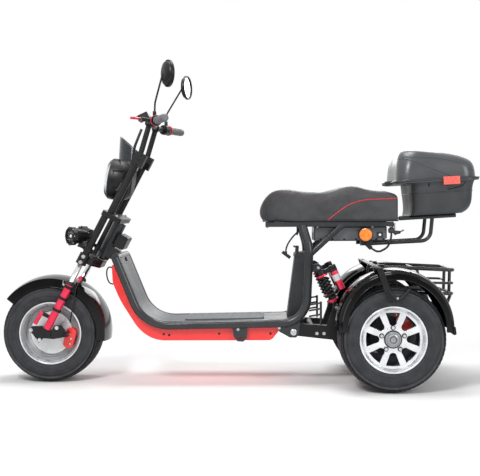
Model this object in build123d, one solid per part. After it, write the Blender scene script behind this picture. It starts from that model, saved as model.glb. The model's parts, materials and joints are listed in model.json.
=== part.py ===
"""Electric tricycle: one steered front wheel, two rear wheels, seat and top box.

Millimetres. +X is forward, +Y is the rider's left and +Z is up. While the parts are
made, X = 0 is the rear axle and Z = 0 is the ground. At the end the whole model is
moved along X so that its origin is the bottom centre of its bounding box.
"""
from build123d import *
import math
import os

# ---------------------------------------------------------------- driving sizes
WHEELBASE = 1494
GAP = 0.3                      # seat of one fixed piece on the next
RUNNING = 0.05                 # radial clearance of a shaft in its bore
AIR = 5.5                      # air between pieces that move past each other

# wheels
RIM_FLANGE_R = 140
RIM_SEAT_R = 127
RIM_WALL = 5
DROP_DEPTH = 12
FRONT_TYRE_R = 220
FRONT_TYRE_W = 202
REAR_TYRE_R = 224
REAR_TYRE_W = 195
REAR_TRACK = 528
WINDOW_COUNT = 8
FRONT_AXLE_R = 9
REAR_AXLE_R = 14
DISC_T = 4
FRONT_DISC_R = RIM_SEAT_R - 32
FRONT_DISC_Y = 58
REAR_DISC_R = RIM_SEAT_R - 41
REAR_DISC_IN = 42              # inner face of a rear disc, inboard of the wheel's middle
FRONT_HUB_HALF = 62
CALIPER_ANGLE = 195            # place of the front caliper round the axle, from straight ahead

# steering geometry, heights along the steering axis from the ground
RAKE = 28
AXIS_GROUND_X = WHEELBASE + 73.2
LEG_OFFSET = 55                # fork legs stand this far ahead of the axis
LEG_SPACING = 250
SLIDER_R = 17
SLIDER_RING_R = 20
SLIDER_BOTTOM = 248
SLIDER_TOP = 470
SLIDER_RINGS = (344, 402, 458)
STANCHION_R = 12.5
STANCHION_DEPTH = 95
UPPER_TUBE_R = 16
STEM_R = 15
HEAD_TUBE_R = 30
LOWER_CLAMP = 574
LOWER_CLAMP_H = 49
UPPER_CLAMP = 812
UPPER_CLAMP_H = 22
COLLAR_R = 24
FOG_LENS_R = 30
FOG_CLAMP = 646               # height of the fog lamps' clamps on the fork tubes

# handlebar
RISER_SPACING = 222
RISER_X = 42
LOWER_RISER_R = 16.5
LOWER_RISER_TOP = 1085
RISER_BLOCK_H = 62
UPPER_RISER_R = 12
BAR_CLAMP_R = 18
BAR_R = 11
BAR_X = AXIS_GROUND_X - 531.2
BAR_Z = 1150
BAR_HALF_CENTRE = 135
GRIP_R = 16
GRIP_LENGTH = 114
GRIP_SWEEP = 94                # how far the grip ends lie behind the bar
GRIP_END_X = BAR_X - GRIP_SWEEP
GRIP_END_Y = 345
POD_R = 23
POD_PLACE = GRIP_LENGTH + 28   # middle of a switch pod, from the grip's end
LEVER_R = 5.5
MIRROR_DISC_R = 54
MIRROR_STEM_R = 4
LAMP_X = AXIS_GROUND_X - 399.2 # middle of the headlight's shell
LAMP_Z = 903
SCREEN_X = AXIS_GROUND_X - 375.2

# front mudguard
FRONT_GUARD_R = 258
FRONT_GUARD_EDGE_R = 247
FRONT_GUARD_LIP_R = 207
FRONT_GUARD_HALF_W = 98
FRONT_GUARD_ARC = (39, 188)
GUARD_T = 2.5

# frame, (X, Z) places on the centre line of a main tube
MAIN_TUBE_R = 18.5
MAIN_TUBE_Y = 150
TUBE_TOP = (AXIS_GROUND_X - 380.2, 560)
TUBE_FRONT_BEND = (AXIS_GROUND_X - 501.2, 260)
TUBE_REAR_BEND = (352, 272)
TUBE_SEAT_BEND = (337, 600)
TUBE_SEAT_TOP = (365, 696)
FRONT_BEND_R = 165
REAR_BEND_R = 112
SEAT_BEND_R = 150
RAIL_Y = 120
RAIL_H = 20
RAIL_W = 24
RAIL_TOP = 711
RAIL_FRONT_X = 528
RAIL_REAR_X = -32
STRUT_R = 13
CROSS_TUBE_R = 13
STAND_HOLE = (641, 208)
STAND_HOLE_R = 6
STAND_PLATE_T = 8
DECK_T = 3
BELLY_T = 2.5
BELLY_Z = 193
TRAY_BENDS = (100, 400, 190, 150)   # bends of the tray's front, from the top down

# swing arm, axle and dampers
PIVOT = (407, 231)
PIVOT_R = 10
ARM_Y = 128
ARM_W = 30
AXLE_TUBE_R = 30
AXLE_FLANGE_R = 45
AXLE_FLANGE_Y = 160
AXLE_SLEEVE_Y = 212
DIFF_R = 88
SHOCK_Y = 126
SHOCK_TOP = (298, 512)
SHOCK_BOTTOM = (220, 338)
SHOCK_PIN_R = 8
SPRING_R = 23
SPRING_WIRE_R = 4.5
SPRING_TURNS = 6
RESERVOIR_R = 17

# rear mudguards, carrier and rack
REAR_GUARD_R = 247
REAR_GUARD_STEP_R = 232
REAR_GUARD_LIP_R = 203
REAR_GUARD_HALF_W = 106.5
REAR_GUARD_CENTRE = (-12, 272)
REAR_GUARD_ARC = (-4, 184)
STAY_X = 60
STAY_T = 4
CARRIER_FRONT = (52, 512)
CARRIER_REAR = (-289, 499)
CARRIER_LOW = 396
CARRIER_R = 8
CARRIER_Y = REAR_TRACK / 2 - REAR_GUARD_HALF_W - CARRIER_R - 9.5
RACK_R = 9
CASE_BOTTOM = 627
RACK_Y = 90

# seat
SEAT_HALF_W = 145
SEAT_NOSE_HALF_W = 105

# top box, in its own frame: its rim plane is tilted up to the rear
BOX_TILT = 3
BOX_CENTRE = (-208, 893)
BOX_WALL = 3
BOX_RIM_H = 11
BASE_DEPTH = 151
LID_TOP = 120
HINGE_X = 199
HINGE_PIN_R = 3

# leads
LEAD_X = 383
LEAD_Y = 70
GLAND_Z = 680
LEAD_R = 3.5
REAR_LEAD_R = 4.5

FRONT_AXLE_X, FRONT_AXLE_Z = WHEELBASE, FRONT_TYRE_R
REAR_AXLE_Z = REAR_TYRE_R
CLAMP_TOP = LOWER_CLAMP + LOWER_CLAMP_H
LEG_Y = LEG_SPACING / 2

parts = {}


# ---------------------------------------------------------------- helpers
def steering_plane():
    """Frame of the steered parts: Z along the axis, X forward, Y left."""
    rake = math.radians(RAKE)
    return Plane(
        origin=(AXIS_GROUND_X, 0, 0),
        x_dir=(math.cos(rake), 0, math.sin(rake)),
        z_dir=(-math.sin(rake), 0, math.cos(rake)),
    )


STEER = steering_plane()


def steered(x, y, height):
    """Place of the steering frame as a place of the vehicle."""
    return STEER.from_local_coords(Vector(x, y, height))


def tube(points, radius, bends=0):
    """Round bar along straight runs joined by tangent bends."""
    if len(points) == 2:
        path = Line(*points)
    else:
        path = FilletPolyline(*points, radius=bends)
    return sweep(Plane(origin=path @ 0, z_dir=path % 0) * Circle(radius), path=path)


def cross_bar(x, z, radius, half_length):
    """Round bar across the vehicle."""
    return Pos(x, 0, z) * Rot(90, 0, 0) * Cylinder(radius, 2 * half_length)


def round_boss(x, y, z, radius, length):
    """Short round piece whose axis lies across the vehicle."""
    return Pos(x, y, z) * Rot(90, 0, 0) * Cylinder(radius, length)


def plate(outline, y, thickness):
    """Plate with an (X, Z) outline, centred on the given Y."""
    return Pos(0, y, 0) * extrude(Plane.XZ * outline, amount=thickness / 2, both=True)


def polygon(*points, bends=0):
    """Closed outline, with rounded corners if bends is given."""
    if bends:
        return make_face(FilletPolyline(*points, radius=bends, close=True))
    return make_face(Polyline(*points, close=True))


def ring(outer, inner, low, high):
    """Plain ring about local Z."""
    height = high - low
    return Pos(0, 0, (low + high) / 2) * (Cylinder(outer, height) - Cylinder(inner, height))


def both(shape):
    """A shape and its mirror image across the middle plane, as one compound."""
    return Compound(children=[*shape.solids(), *mirror(shape, about=Plane.XZ).solids()])


def wheel_frame(x, y, z, outward):
    """Frame of a wheel: Z points out of its outer face."""
    return Plane(origin=(x, y, z), x_dir=(1, 0, 0), z_dir=(0, outward, 0))


def side_frame(x, y, z):
    """Frame whose X is forward and Y is up, for arcs seen from the side."""
    return Plane(origin=(x, y, z), x_dir=(1, 0, 0), z_dir=(0, -1, 0))


# ---------------------------------------------------------------- wheels
def tyre(radius, width):
    """Low tyre with a rounded tread, bulged walls and beads on the rim seats."""
    half = width / 2
    seat = RIM_SEAT_R + GAP
    bead = half - 24.5
    wall_r = RIM_FLANGE_R + 0.42 * (radius - RIM_FLANGE_R)
    tread = Spline(
        (wall_r, half), (radius - 13, half - 19), (radius, 0),
        (radius - 13, 19 - half), (wall_r, -half),
    )
    walls = Polyline(
        (wall_r, -half), (RIM_FLANGE_R + 3, 9 - half), (RIM_FLANGE_R + GAP, 14.5 - half),
        (seat, -bead), (seat, bead),
        (RIM_FLANGE_R + GAP, half - 14.5), (RIM_FLANGE_R + 3, half - 9), (wall_r, half),
    )
    return revolve(Plane.XZ * make_face(Curve() + [tread, walls]), axis=Axis.Z)


def rim_barrel(width):
    """Rim with two flanges, bead seats and a drop centre."""
    edge = width / 2 - 10
    seat_end = edge - 14
    drop = RIM_SEAT_R - DROP_DEPTH
    outer = [
        (RIM_FLANGE_R, edge), (RIM_FLANGE_R, edge - 4), (RIM_SEAT_R, seat_end),
        (RIM_SEAT_R, 34), (drop, 22), (drop, -22),
        (RIM_SEAT_R, -34), (RIM_SEAT_R, -seat_end), (RIM_FLANGE_R, 4 - edge),
        (RIM_FLANGE_R, -edge),
    ]
    inner = [
        (RIM_FLANGE_R - 6, -edge), (RIM_SEAT_R - RIM_WALL, 4 - seat_end),
        (RIM_SEAT_R - RIM_WALL, -37), (drop - RIM_WALL, -25),
        (drop - RIM_WALL, 25), (RIM_SEAT_R - RIM_WALL, 37),
        (RIM_SEAT_R - RIM_WALL, seat_end - 4), (RIM_FLANGE_R - 6, edge),
    ]
    return revolve(Plane.XZ * polygon(*outer, *inner), axis=Axis.Z)


def spoke_face(radius, low, high, window_in, window_out):
    """Cast face with windows, round towards the hub and wide at the rim."""
    face = ring(radius, RUNNING + REAR_AXLE_R, low, high)
    half_in = 0.145 * window_out
    half_out = 0.27 * window_out
    start = window_in + half_in
    window = make_face(Curve() + [
        Line((start, -half_in), (window_out - 3, -half_out)),
        ThreePointArc((window_out - 3, -half_out), (window_out, 0), (window_out - 3, half_out)),
        Line((window_out - 3, half_out), (start, half_in)),
        ThreePointArc((start, half_in), (window_in, 0), (start, -half_in)),
    ])
    cutter = Pos(0, 0, low - 1) * extrude(window, amount=high - low + 2)
    return face - [Rot(0, 0, i * 360 / WINDOW_COUNT) * cutter for i in range(WINDOW_COUNT)]


def front_wheel():
    frame = wheel_frame(FRONT_AXLE_X, 0, FRONT_AXLE_Z, 1)
    parts["front_tyre"] = frame * tyre(FRONT_TYRE_R, FRONT_TYRE_W)
    rim = rim_barrel(FRONT_TYRE_W)
    rim += spoke_face(RIM_SEAT_R - DROP_DEPTH - 1, -7, 9, 48, RIM_SEAT_R - 27)
    rim += ring(30, FRONT_AXLE_R + RUNNING, -FRONT_HUB_HALF, FRONT_HUB_HALF)
    rim += ring(FRONT_DISC_R, 28, FRONT_DISC_Y, FRONT_DISC_Y + DISC_T)
    parts["front_rim"] = frame * rim


def rear_wheel(side, outward):
    frame = wheel_frame(0, outward * REAR_TRACK / 2, REAR_AXLE_Z, outward)
    parts["rear_tyre_" + side] = frame * tyre(REAR_TYRE_R, REAR_TYRE_W)
    rim = rim_barrel(REAR_TYRE_W)
    rim += spoke_face(RIM_SEAT_R - RIM_WALL + 1, 54, 66, 56, RIM_SEAT_R - 15)
    rim += ring(28, REAR_AXLE_R + RUNNING, -REAR_DISC_IN, 66)
    rim += ring(REAR_DISC_R, 26, -REAR_DISC_IN, DISC_T - REAR_DISC_IN)
    parts["rear_rim_" + side] = frame * rim


# ---------------------------------------------------------------- fork
def fork_legs():
    """Lower legs with their dampers, and the chromed tubes that slide in them."""
    bore = SLIDER_TOP - STANCHION_DEPTH
    leg = ring(SLIDER_R, STANCHION_R + RUNNING, bore, SLIDER_TOP)
    leg += Pos(0, 0, (SLIDER_BOTTOM + bore) / 2) * Cylinder(SLIDER_R, bore - SLIDER_BOTTOM)
    for height in SLIDER_RINGS:
        leg += ring(SLIDER_RING_R, SLIDER_R - 1, height - 6, height + 6)
    lug = Pos(34, 0, 300) * Box(44, 8, 16)
    damper_top, damper_low = Vector(54, 0, 306), Vector(58, 0, 244)
    damper = tube([damper_top, damper_low], 9)
    leg = Pos(LEG_OFFSET, LEG_Y, 0) * (leg + lug + damper)
    parts["fork_sliders"] = both(STEER * leg)

    stanchion = Pos(LEG_OFFSET, LEG_Y, (bore + 2 + CLAMP_TOP) / 2) * Cylinder(
        STANCHION_R, CLAMP_TOP - bore - 2)
    parts["fork_stanchions"] = both(STEER * stanchion)


def fork_crown():
    """Lower and upper clamps, the stem and the outer tubes between the clamps."""
    plan = polygon((LEG_OFFSET, LEG_Y), (10, LEG_Y), (-19, 60), (-19, -60), (10, -LEG_Y), (LEG_OFFSET, -LEG_Y))
    crown = Pos(0, 0, LOWER_CLAMP + 13) * extrude(plan, amount=LOWER_CLAMP_H - 18)
    for side in (1, -1):
        leg = Pos(LEG_OFFSET, side * LEG_Y, 0)
        collar = leg * Pos(0, 0, LOWER_CLAMP + LOWER_CLAMP_H / 2) * Cylinder(COLLAR_R, LOWER_CLAMP_H)
        for k in range(4):
            height = LOWER_CLAMP + 8 + k * 10
            collar -= leg * ring(COLLAR_R + 1, COLLAR_R - 2, height, height + 3)
        crown += collar
        crown += leg * Pos(0, 0, (CLAMP_TOP + UPPER_CLAMP) / 2) * Cylinder(
            UPPER_TUBE_R, UPPER_CLAMP - CLAMP_TOP)
    crown += Pos(0, 0, (CLAMP_TOP + UPPER_CLAMP) / 2) * Cylinder(STEM_R, UPPER_CLAMP - CLAMP_TOP + 4)
    crown += Pos(28, 0, UPPER_CLAMP) * extrude(
        RectangleRounded(94, LEG_SPACING + 44, 20), amount=UPPER_CLAMP_H)
    for side in (1, -1):
        crown -= Pos(LEG_OFFSET, side * LEG_Y, LOWER_CLAMP + LOWER_CLAMP_H / 2) * Cylinder(
            STANCHION_R + RUNNING, LOWER_CLAMP_H)
    parts["fork_crown"] = STEER * crown


def axle_links():
    """Plates under the legs that carry the axle, with the caliper's arm."""
    outline = Pos(FRONT_AXLE_X, FRONT_AXLE_Z) * polygon(
        (86, 20), (72, 37), (-58, 42), (-74, 20), (-62, -14),
        (-24, -20), (21, -16), (42, -36), (68, 2),
    )
    links = plate(outline, LEG_Y, 12) + plate(outline, -LEG_Y, 12)
    links -= STEER * (Pos(LEG_OFFSET, 0, SLIDER_BOTTOM + 60 - GAP) * Box(44, 2 * LEG_SPACING, 120))
    links -= STEER * (Pos(LEG_OFFSET + 58, 0, SLIDER_BOTTOM + 56 - GAP) * Box(30, 2 * LEG_SPACING, 120))
    links += cross_bar(FRONT_AXLE_X, FRONT_AXLE_Z, FRONT_AXLE_R, LEG_Y + 14)
    spacer_in = FRONT_HUB_HALF + AIR
    for side in (1, -1):
        links += round_boss(FRONT_AXLE_X, side * (spacer_in + LEG_Y) / 2, FRONT_AXLE_Z, 15, LEG_Y - spacer_in)
        links += round_boss(FRONT_AXLE_X, side * (LEG_Y + 9), FRONT_AXLE_Z, 14, 8)
    caliper_out = FRONT_DISC_Y + DISC_T + AIR + 10 + GAP
    links += Pos(FRONT_AXLE_X - 66, (caliper_out + LEG_Y) / 2, FRONT_AXLE_Z) * Box(34, LEG_Y - caliper_out, 26)
    parts["axle_links"] = links


def caliper_body(length, width, thickness, slot):
    """Brake caliper that straddles a disc; the slot lies in local XY."""
    body = extrude(RectangleRounded(width, length, width * 0.42), amount=thickness / 2, both=True)
    return body - Pos(-width * 0.22, 0, 0) * Box(width, length + 2, slot)


def front_caliper():
    slot = DISC_T + 2 * AIR
    body = caliper_body(92, 46, slot + 20, slot)
    frame = side_frame(FRONT_AXLE_X, FRONT_DISC_Y + DISC_T / 2, FRONT_AXLE_Z)
    parts["front_caliper"] = frame * Rot(0, 0, CALIPER_ANGLE) * Pos(FRONT_DISC_R - 8.5, 0, 0) * body


def front_mudguard():
    half = FRONT_GUARD_HALF_W

    def section(inset, lip):
        edge, crown, y = FRONT_GUARD_EDGE_R - inset, FRONT_GUARD_R - inset, half - inset
        return make_face(Curve() + [
            ThreePointArc((edge, -y), (crown, 0), (edge, y)),
            Polyline((edge, y), (lip, y), (lip, -y), (edge, -y)),
        ])
    profile = section(0, FRONT_GUARD_LIP_R) - section(GUARD_T, FRONT_GUARD_LIP_R - 1)
    start, end = FRONT_GUARD_ARC
    shell = Rot(0, 0, start) * revolve(Plane.XZ * profile, axis=Axis.Z, revolution_arc=end - start)
    guard = side_frame(FRONT_AXLE_X, 0, FRONT_AXLE_Z) * shell
    tab_y = (half - 1 + LEG_Y - SLIDER_R - GAP) / 2
    tab = STEER * (Pos(LEG_OFFSET, tab_y, 438) * Box(26, LEG_Y - SLIDER_R - GAP - half + 1, 18))
    parts["front_mudguard"] = guard + tab + mirror(tab, about=Plane.XZ)


# ---------------------------------------------------------------- handlebar
def bar_line():
    """Centre line of the handlebar, from grip end to grip end."""
    end = (GRIP_END_X, GRIP_END_Y, BAR_Z)
    bend = (BAR_X, BAR_HALF_CENTRE, BAR_Z)
    return [end, bend, (BAR_X, -BAR_HALF_CENTRE, BAR_Z), (GRIP_END_X, -GRIP_END_Y, BAR_Z)]


def along_grip(distance):
    """Place on the left grip's centre line, measured inwards from its end."""
    end = Vector(GRIP_END_X, GRIP_END_Y, BAR_Z)
    bend = Vector(BAR_X, BAR_HALF_CENTRE, BAR_Z)
    return end + (bend - end).normalized() * distance


def beside_grip(distance, reach):
    """Place ahead of the left grip, at a distance from its end and out from its axis."""
    along = (along_grip(1) - along_grip(0)).normalized()
    return along_grip(distance) + Vector(-along.Y, along.X) * reach


def handlebar():
    """Risers, their clamp blocks, the bar and the switch pods."""
    base = UPPER_CLAMP + UPPER_CLAMP_H
    half = RISER_SPACING / 2
    body = tube(bar_line(), BAR_R, 50)
    for side in (1, -1):
        lower = Pos(RISER_X, side * half, (base + LOWER_RISER_TOP) / 2) * Cylinder(
            LOWER_RISER_R, LOWER_RISER_TOP - base)
        block = Pos(RISER_X - 4, side * half, LOWER_RISER_TOP + RISER_BLOCK_H / 2 - 14) * Box(
            52, 44, RISER_BLOCK_H)
        body += STEER * lower
        body += STEER * block
        foot = steered(RISER_X, side * half, LOWER_RISER_TOP + RISER_BLOCK_H - 30)
        body += tube([foot, (BAR_X, side * half, BAR_Z)], UPPER_RISER_R)
        body += round_boss(BAR_X, side * half, BAR_Z, BAR_CLAMP_R, 36)
        pod = along_grip(POD_PLACE)
        direction = (along_grip(0) - pod).normalized()
        pod_plane = Plane(origin=(pod.X, side * pod.Y, pod.Z), z_dir=(direction.X, side * direction.Y, 0))
        body += pod_plane * Cylinder(POD_R, 52)
        perch = beside_grip(POD_PLACE + 6, 56)
        body += tube([(pod.X, side * pod.Y, BAR_Z), (perch.X, side * perch.Y, BAR_Z + 8)], 9)
    body += STEER * (Pos(RISER_X, 0, LOWER_RISER_TOP + 10) * Box(24, RISER_SPACING, 22))
    body += Pos(BAR_X + 40, 0, BAR_Z + 40) * Rot(0, 24, 0) * Box(52, 88, 24)
    body += Pos(BAR_X + 14, 0, BAR_Z + 20) * Rot(0, -40, 0) * Box(64, 40, 18)
    parts["handlebar"] = body


def grips():
    """Rubber grips with rounded ends over the bar."""
    inner = along_grip(GRIP_LENGTH)
    end = along_grip(0)
    direction = (end - inner).normalized()
    cap = 12
    grip = Pos(0, 0, (GRIP_LENGTH + cap) / 2 + 1) * Cylinder(GRIP_R, GRIP_LENGTH + cap - 2)
    grip = fillet(grip.edges().sort_by(Axis.Z)[-1], 9)
    grip -= Pos(0, 0, GRIP_LENGTH / 2) * Cylinder(BAR_R + RUNNING, GRIP_LENGTH + 2 * GAP)
    parts["grips"] = both(Plane(origin=inner, z_dir=direction) * grip)


def levers():
    """Brake levers ahead of the grips."""
    root = beside_grip(POD_PLACE + 6, 56 + LEVER_R + GAP) + Vector(0, 0, 8)
    knuckle = beside_grip(GRIP_LENGTH - 4, 92) + Vector(0, 0, 6)
    tip = beside_grip(52, 128)
    lever = tube([root, knuckle, tip], LEVER_R, 30)
    parts["brake_levers"] = both(lever)


def mirrors():
    """Round mirrors on bent stems, each in a shallow bowl."""
    bowls, stems, glasses = [], [], []
    base = along_grip(POD_PLACE)
    for side, head_x, head_z, turn in ((1, BAR_X - 99, 1343, 0.55), (-1, BAR_X - 128, 1360, 0.27)):
        foot = Vector(base.X, side * base.Y, BAR_Z + POD_R + GAP)
        knee = Vector(base.X - 3, side * (base.Y + 6), foot.Z + 54)
        head = Vector(head_x, side * (base.Y + 64), head_z)
        back = Plane(origin=head, z_dir=(-1, -turn * side, 0.02))
        joint = head - back.z_dir * 20
        stems.append(tube([foot, knee, joint], MIRROR_STEM_R, 40))
        stems.append(Pos(foot.X, foot.Y, foot.Z + 9) * Cylinder(8, 18))
        bowl = revolve(Plane.XZ * polygon(
            (0, -20), (24, -19), (48, -10), (MIRROR_DISC_R, 2), (MIRROR_DISC_R, 6),
            (MIRROR_DISC_R - 3, 6), (MIRROR_DISC_R - 3, 3 - GAP), (0, 3 - GAP)), axis=Axis.Z)
        bowls.append(back * bowl)
        glasses.append(back * Pos(0, 0, 4.5) * Cylinder(MIRROR_DISC_R - 3 - GAP, 3))
    frames = [bowl + stem + nut for bowl, stem, nut in zip(bowls, stems[0::2], stems[1::2])]
    parts["mirrors"] = Compound(children=[solid for shape in frames for solid in shape.solids()])
    parts["mirror_glass"] = Compound(children=[solid for shape in glasses for solid in shape.solids()])


def headlight():
    """Oval lamp with a domed lens, carried by two arms from the risers."""
    tilt = math.radians(10)
    frame = Plane(origin=(LAMP_X, 0, LAMP_Z), x_dir=(0, 1, 0), z_dir=(math.cos(tilt), 0, math.sin(tilt)))
    rim = 62                       # front edge of the shell

    def stack(*sections):
        return loft([Plane.XY.offset(place) * Ellipse(half_w, half_h) for place, half_w, half_h in sections])
    shell = stack((-44, 56, 62), (-16, 76, 86), (30, 84, 94), (rim, 81, 92))
    bowl = stack((34, 58, 68), (rim + 2, 76, 87))
    lens = stack((rim + GAP, 80, 91), (rim + 14, 66, 78), (rim + 22, 34, 44))
    inner = stack((rim + GAP, 76.5, 87.5), (rim + 12, 62, 74), (rim + 18.5, 31, 41))
    body = frame * (shell - bowl)
    for side in (1, -1):
        body += tube([(LAMP_X - 8, side * 60, LAMP_Z + 2),
                      steered(RISER_X + 20, side * RISER_SPACING / 2, 930)], 8)
    risers = [STEER * (Pos(RISER_X, side * RISER_SPACING / 2, 960) * Cylinder(LOWER_RISER_R + GAP, 300))
              for side in (1, -1)]
    parts["headlight"] = body - risers
    parts["headlight_seat"] = frame * shell
    parts["headlight_lens"] = frame * (lens - inner)


def windshield():
    """Small wrapped screen above the headlight."""
    outer, thickness = 92, 3
    wall = Pos(0, 0, 60) * (Cylinder(outer, 140) - Cylinder(outer - thickness, 140))
    front = Pos(outer, 0, 60) * Box(2 * outer - 50, 2 * outer, 140)
    screen = Pos(SCREEN_X - outer, 0, 985) * Rot(0, -4, 0) * (wall & front)
    above = Pos(SCREEN_X, 0) * polygon((56, 1136), (0, 1114), (-68, 1048), (-94, 1048), (-94, 1200), (56, 1200))
    below = Pos(SCREEN_X, 0) * polygon((56, 988), (-13, 990), (-94, 984), (-94, 900), (56, 900))
    seat = Pos(0, 0, GAP) * parts.pop("headlight_seat")
    parts["windshield"] = screen - plate(above, 0, 300) - plate(below, 0, 300) - seat


def fog_lights():
    """Pair of eight-sided lamps on a bracket from the fork tubes."""
    lamp = Rot(0, 0, 22.5) * extrude(RegularPolygon(43, 8), amount=18)
    lamp -= Pos(0, 0, 12) * Cylinder(FOG_LENS_R + GAP, 14)
    lamp += Pos(0, 0, -30) * Cone(24, 38, 60)
    lamp += Pos(0, 0, -66) * Cylinder(18, 14)
    bodies, lenses = [], []
    for side in (1, -1):
        frame = Plane(origin=(AXIS_GROUND_X - 189.2, side * 112, 656), z_dir=(0.74, side * 0.67, 0))
        bodies.append(frame * lamp)
        lenses.append(frame * Pos(0, 0, 5 + GAP + 4) * Cylinder(FOG_LENS_R, 8))
    parts["fog_lenses"] = Compound(children=[solid for lens in lenses for solid in lens.solids()])
    body = bodies[0] + bodies[1]
    body += STEER * (Pos(LEG_OFFSET + 44, 0, FOG_CLAMP) * Box(8, LEG_SPACING + 20, 16))
    for side in (1, -1):
        leg = Pos(LEG_OFFSET, side * LEG_Y, 0)
        band = leg * ring(UPPER_TUBE_R + 5, UPPER_TUBE_R + GAP, FOG_CLAMP - 9, FOG_CLAMP + 9)
        arm = leg * Pos(32, 0, FOG_CLAMP) * Box(28, 10, 14)
        body += STEER * (band + arm)
        body += Pos(AXIS_GROUND_X - 217.2, side * 86, 630) * Box(14, 14, 34)
    parts["fog_lights"] = body


# ---------------------------------------------------------------- frame
def parallel(points, distance):
    """An open line of (X, Z) points moved to the left of its direction."""
    ends = [Vector(*point) for point in points]
    normals = []
    for start, end in zip(ends, ends[1:]):
        run = (end - start).normalized()
        normals.append(Vector(-run.Y, run.X))
    moved = [ends[0] + normals[0] * distance]
    for place, before, after in zip(ends[1:-1], normals, normals[1:]):
        moved.append(place + (before + after) * (distance / (1 + before.dot(after))))
    moved.append(ends[-1] + normals[-1] * distance)
    return moved


def floor_line(rear_x):
    """Main tubes' centre line from the head down to the end of the floor."""
    front, rear = Vector(*TUBE_FRONT_BEND), Vector(*TUBE_REAR_BEND)
    slope = (front.Y - rear.Y) / (front.X - rear.X)
    return [TUBE_TOP, TUBE_FRONT_BEND, (rear_x, front.Y + slope * (rear_x - front.X))]


def main_frame():
    """Twin bent tubes with the head tube, seat rails, struts and brackets."""
    y = MAIN_TUBE_Y
    side_line = [
        (TUBE_TOP[0], y, TUBE_TOP[1]), (TUBE_FRONT_BEND[0], y, TUBE_FRONT_BEND[1]),
        (TUBE_REAR_BEND[0], y, TUBE_REAR_BEND[1]), (TUBE_SEAT_BEND[0], y, TUBE_SEAT_BEND[1]),
        (TUBE_SEAT_TOP[0], RAIL_Y + 6, TUBE_SEAT_TOP[1]),
    ]
    rail_z = RAIL_TOP - RAIL_H / 2
    side = tube(side_line, MAIN_TUBE_R, [FRONT_BEND_R, REAR_BEND_R, SEAT_BEND_R])
    side += Pos((RAIL_FRONT_X + RAIL_REAR_X) / 2, RAIL_Y, rail_z) * Box(
        RAIL_FRONT_X - RAIL_REAR_X, RAIL_W, RAIL_H)
    side += tube([(331, y - 2, 573), (188, RAIL_Y, rail_z)], STRUT_R)
    side += plate(polygon(
        (480, 262), (470, 234), (424, 208), (396, 208), (383, 226), (376, 316), (420, 300)),
        y, 7)
    for lug_y in (SHOCK_Y - 14, SHOCK_Y + 14):
        side += plate(polygon(
            (330, 524), (300, 530), (282, 520), (280, 506), (296, 499), (326, 494)), lug_y, 5)
    side += round_boss(SHOCK_TOP[0], SHOCK_Y, SHOCK_TOP[1], SHOCK_PIN_R, 36)
    for z in (350, 325, 300):
        side += tube([(340, y, z), (288, y, z + 9)], 4)
    side += Pos(288, y, 314) * Cylinder(5, 102)
    side += plate(polygon(
        (607, 258), (676, 258), (670, 214), (654, 192), (628, 190), (612, 206)), y, STAND_PLATE_T)
    side -= round_boss(STAND_HOLE[0], y, STAND_HOLE[1], STAND_HOLE_R, 2 * STAND_PLATE_T)
    frame = side + mirror(side, about=Plane.XZ)

    frame += cross_bar(TUBE_TOP[0], TUBE_TOP[1], MAIN_TUBE_R, y)
    floor = floor_line(TUBE_REAR_BEND[0])
    for x in (AXIS_GROUND_X - 637.2, 480):
        z = floor[1][1] + (floor[2][1] - floor[1][1]) * (floor[1][0] - x) / (floor[1][0] - floor[2][0])
        frame += cross_bar(x, z, CROSS_TUBE_R, y)
    frame += cross_bar(324, 504, 11, y)
    frame += cross_bar(PIVOT[0], PIVOT[1], PIVOT_R, y + 3)
    for x in (505, LEAD_X, 270, 20):
        frame += Pos(x, 0, rail_z) * Box(28, 2 * RAIL_Y, RAIL_H)
    gland_top = RAIL_TOP - RAIL_H + 1
    frame += Pos(LEAD_X, LEAD_Y, (GLAND_Z + gland_top) / 2) * Cylinder(7, gland_top - GLAND_Z)

    head = Pos(0, 0, (CLAMP_TOP + UPPER_CLAMP) / 2) * Cylinder(HEAD_TUBE_R, UPPER_CLAMP - CLAMP_TOP - 2 * AIR)
    neck = plate(polygon((0, 640), (0, 698), (-58, 694), (-92, 676), (-80, 652), (-26, 640)), 0, 56)
    frame += STEER * (head + neck)
    frame -= STEER * (Pos(0, 0, (CLAMP_TOP + UPPER_CLAMP) / 2) * Cylinder(
        STEM_R + RUNNING, UPPER_CLAMP - CLAMP_TOP))
    parts["main_frame"] = frame


def floor_deck():
    """Sheet between the main tubes: the sloped front and the flat floor."""
    top = CROSS_TUBE_R + GAP + DECK_T
    line = floor_line(356)
    upper = parallel(line, -top)
    lower = parallel(line, -top + DECK_T)
    outline = make_face(FilletPolyline(
        *upper, *reversed(lower), close=True,
        radius=[0, FRONT_BEND_R - top, 0, 0, FRONT_BEND_R - top + DECK_T, 0]))
    deck = plate(outline, 0, 2 * (MAIN_TUBE_Y - MAIN_TUBE_R - GAP))
    deck -= cross_bar(TUBE_TOP[0], TUBE_TOP[1], MAIN_TUBE_R + GAP, MAIN_TUBE_Y)
    deck -= STEER * (Pos(-46, 0, 670) * Box(120, 56 + 2 * GAP, 90))
    parts["floor_deck"] = deck


def floor_mat():
    """Ribbed rubber mat on the flat of the floor."""
    line = floor_line(356)
    slope = math.degrees(math.atan2(line[2][1] - line[1][1], line[1][0] - line[2][0]))
    middle = 712
    z = line[1][1] + (line[1][0] - middle) * math.tan(math.radians(slope))
    mat = extrude(RectangleRounded(350, 224, 22), amount=6)
    for k in range(9):
        mat -= Pos(-148 + 37 * k, 0, 6) * Box(14, 190, 3)
    lift = (CROSS_TUBE_R + 2 * GAP + DECK_T)
    parts["floor_mat"] = Pos(middle, 0, z + lift) * Rot(0, slope, 0) * mat


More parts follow.
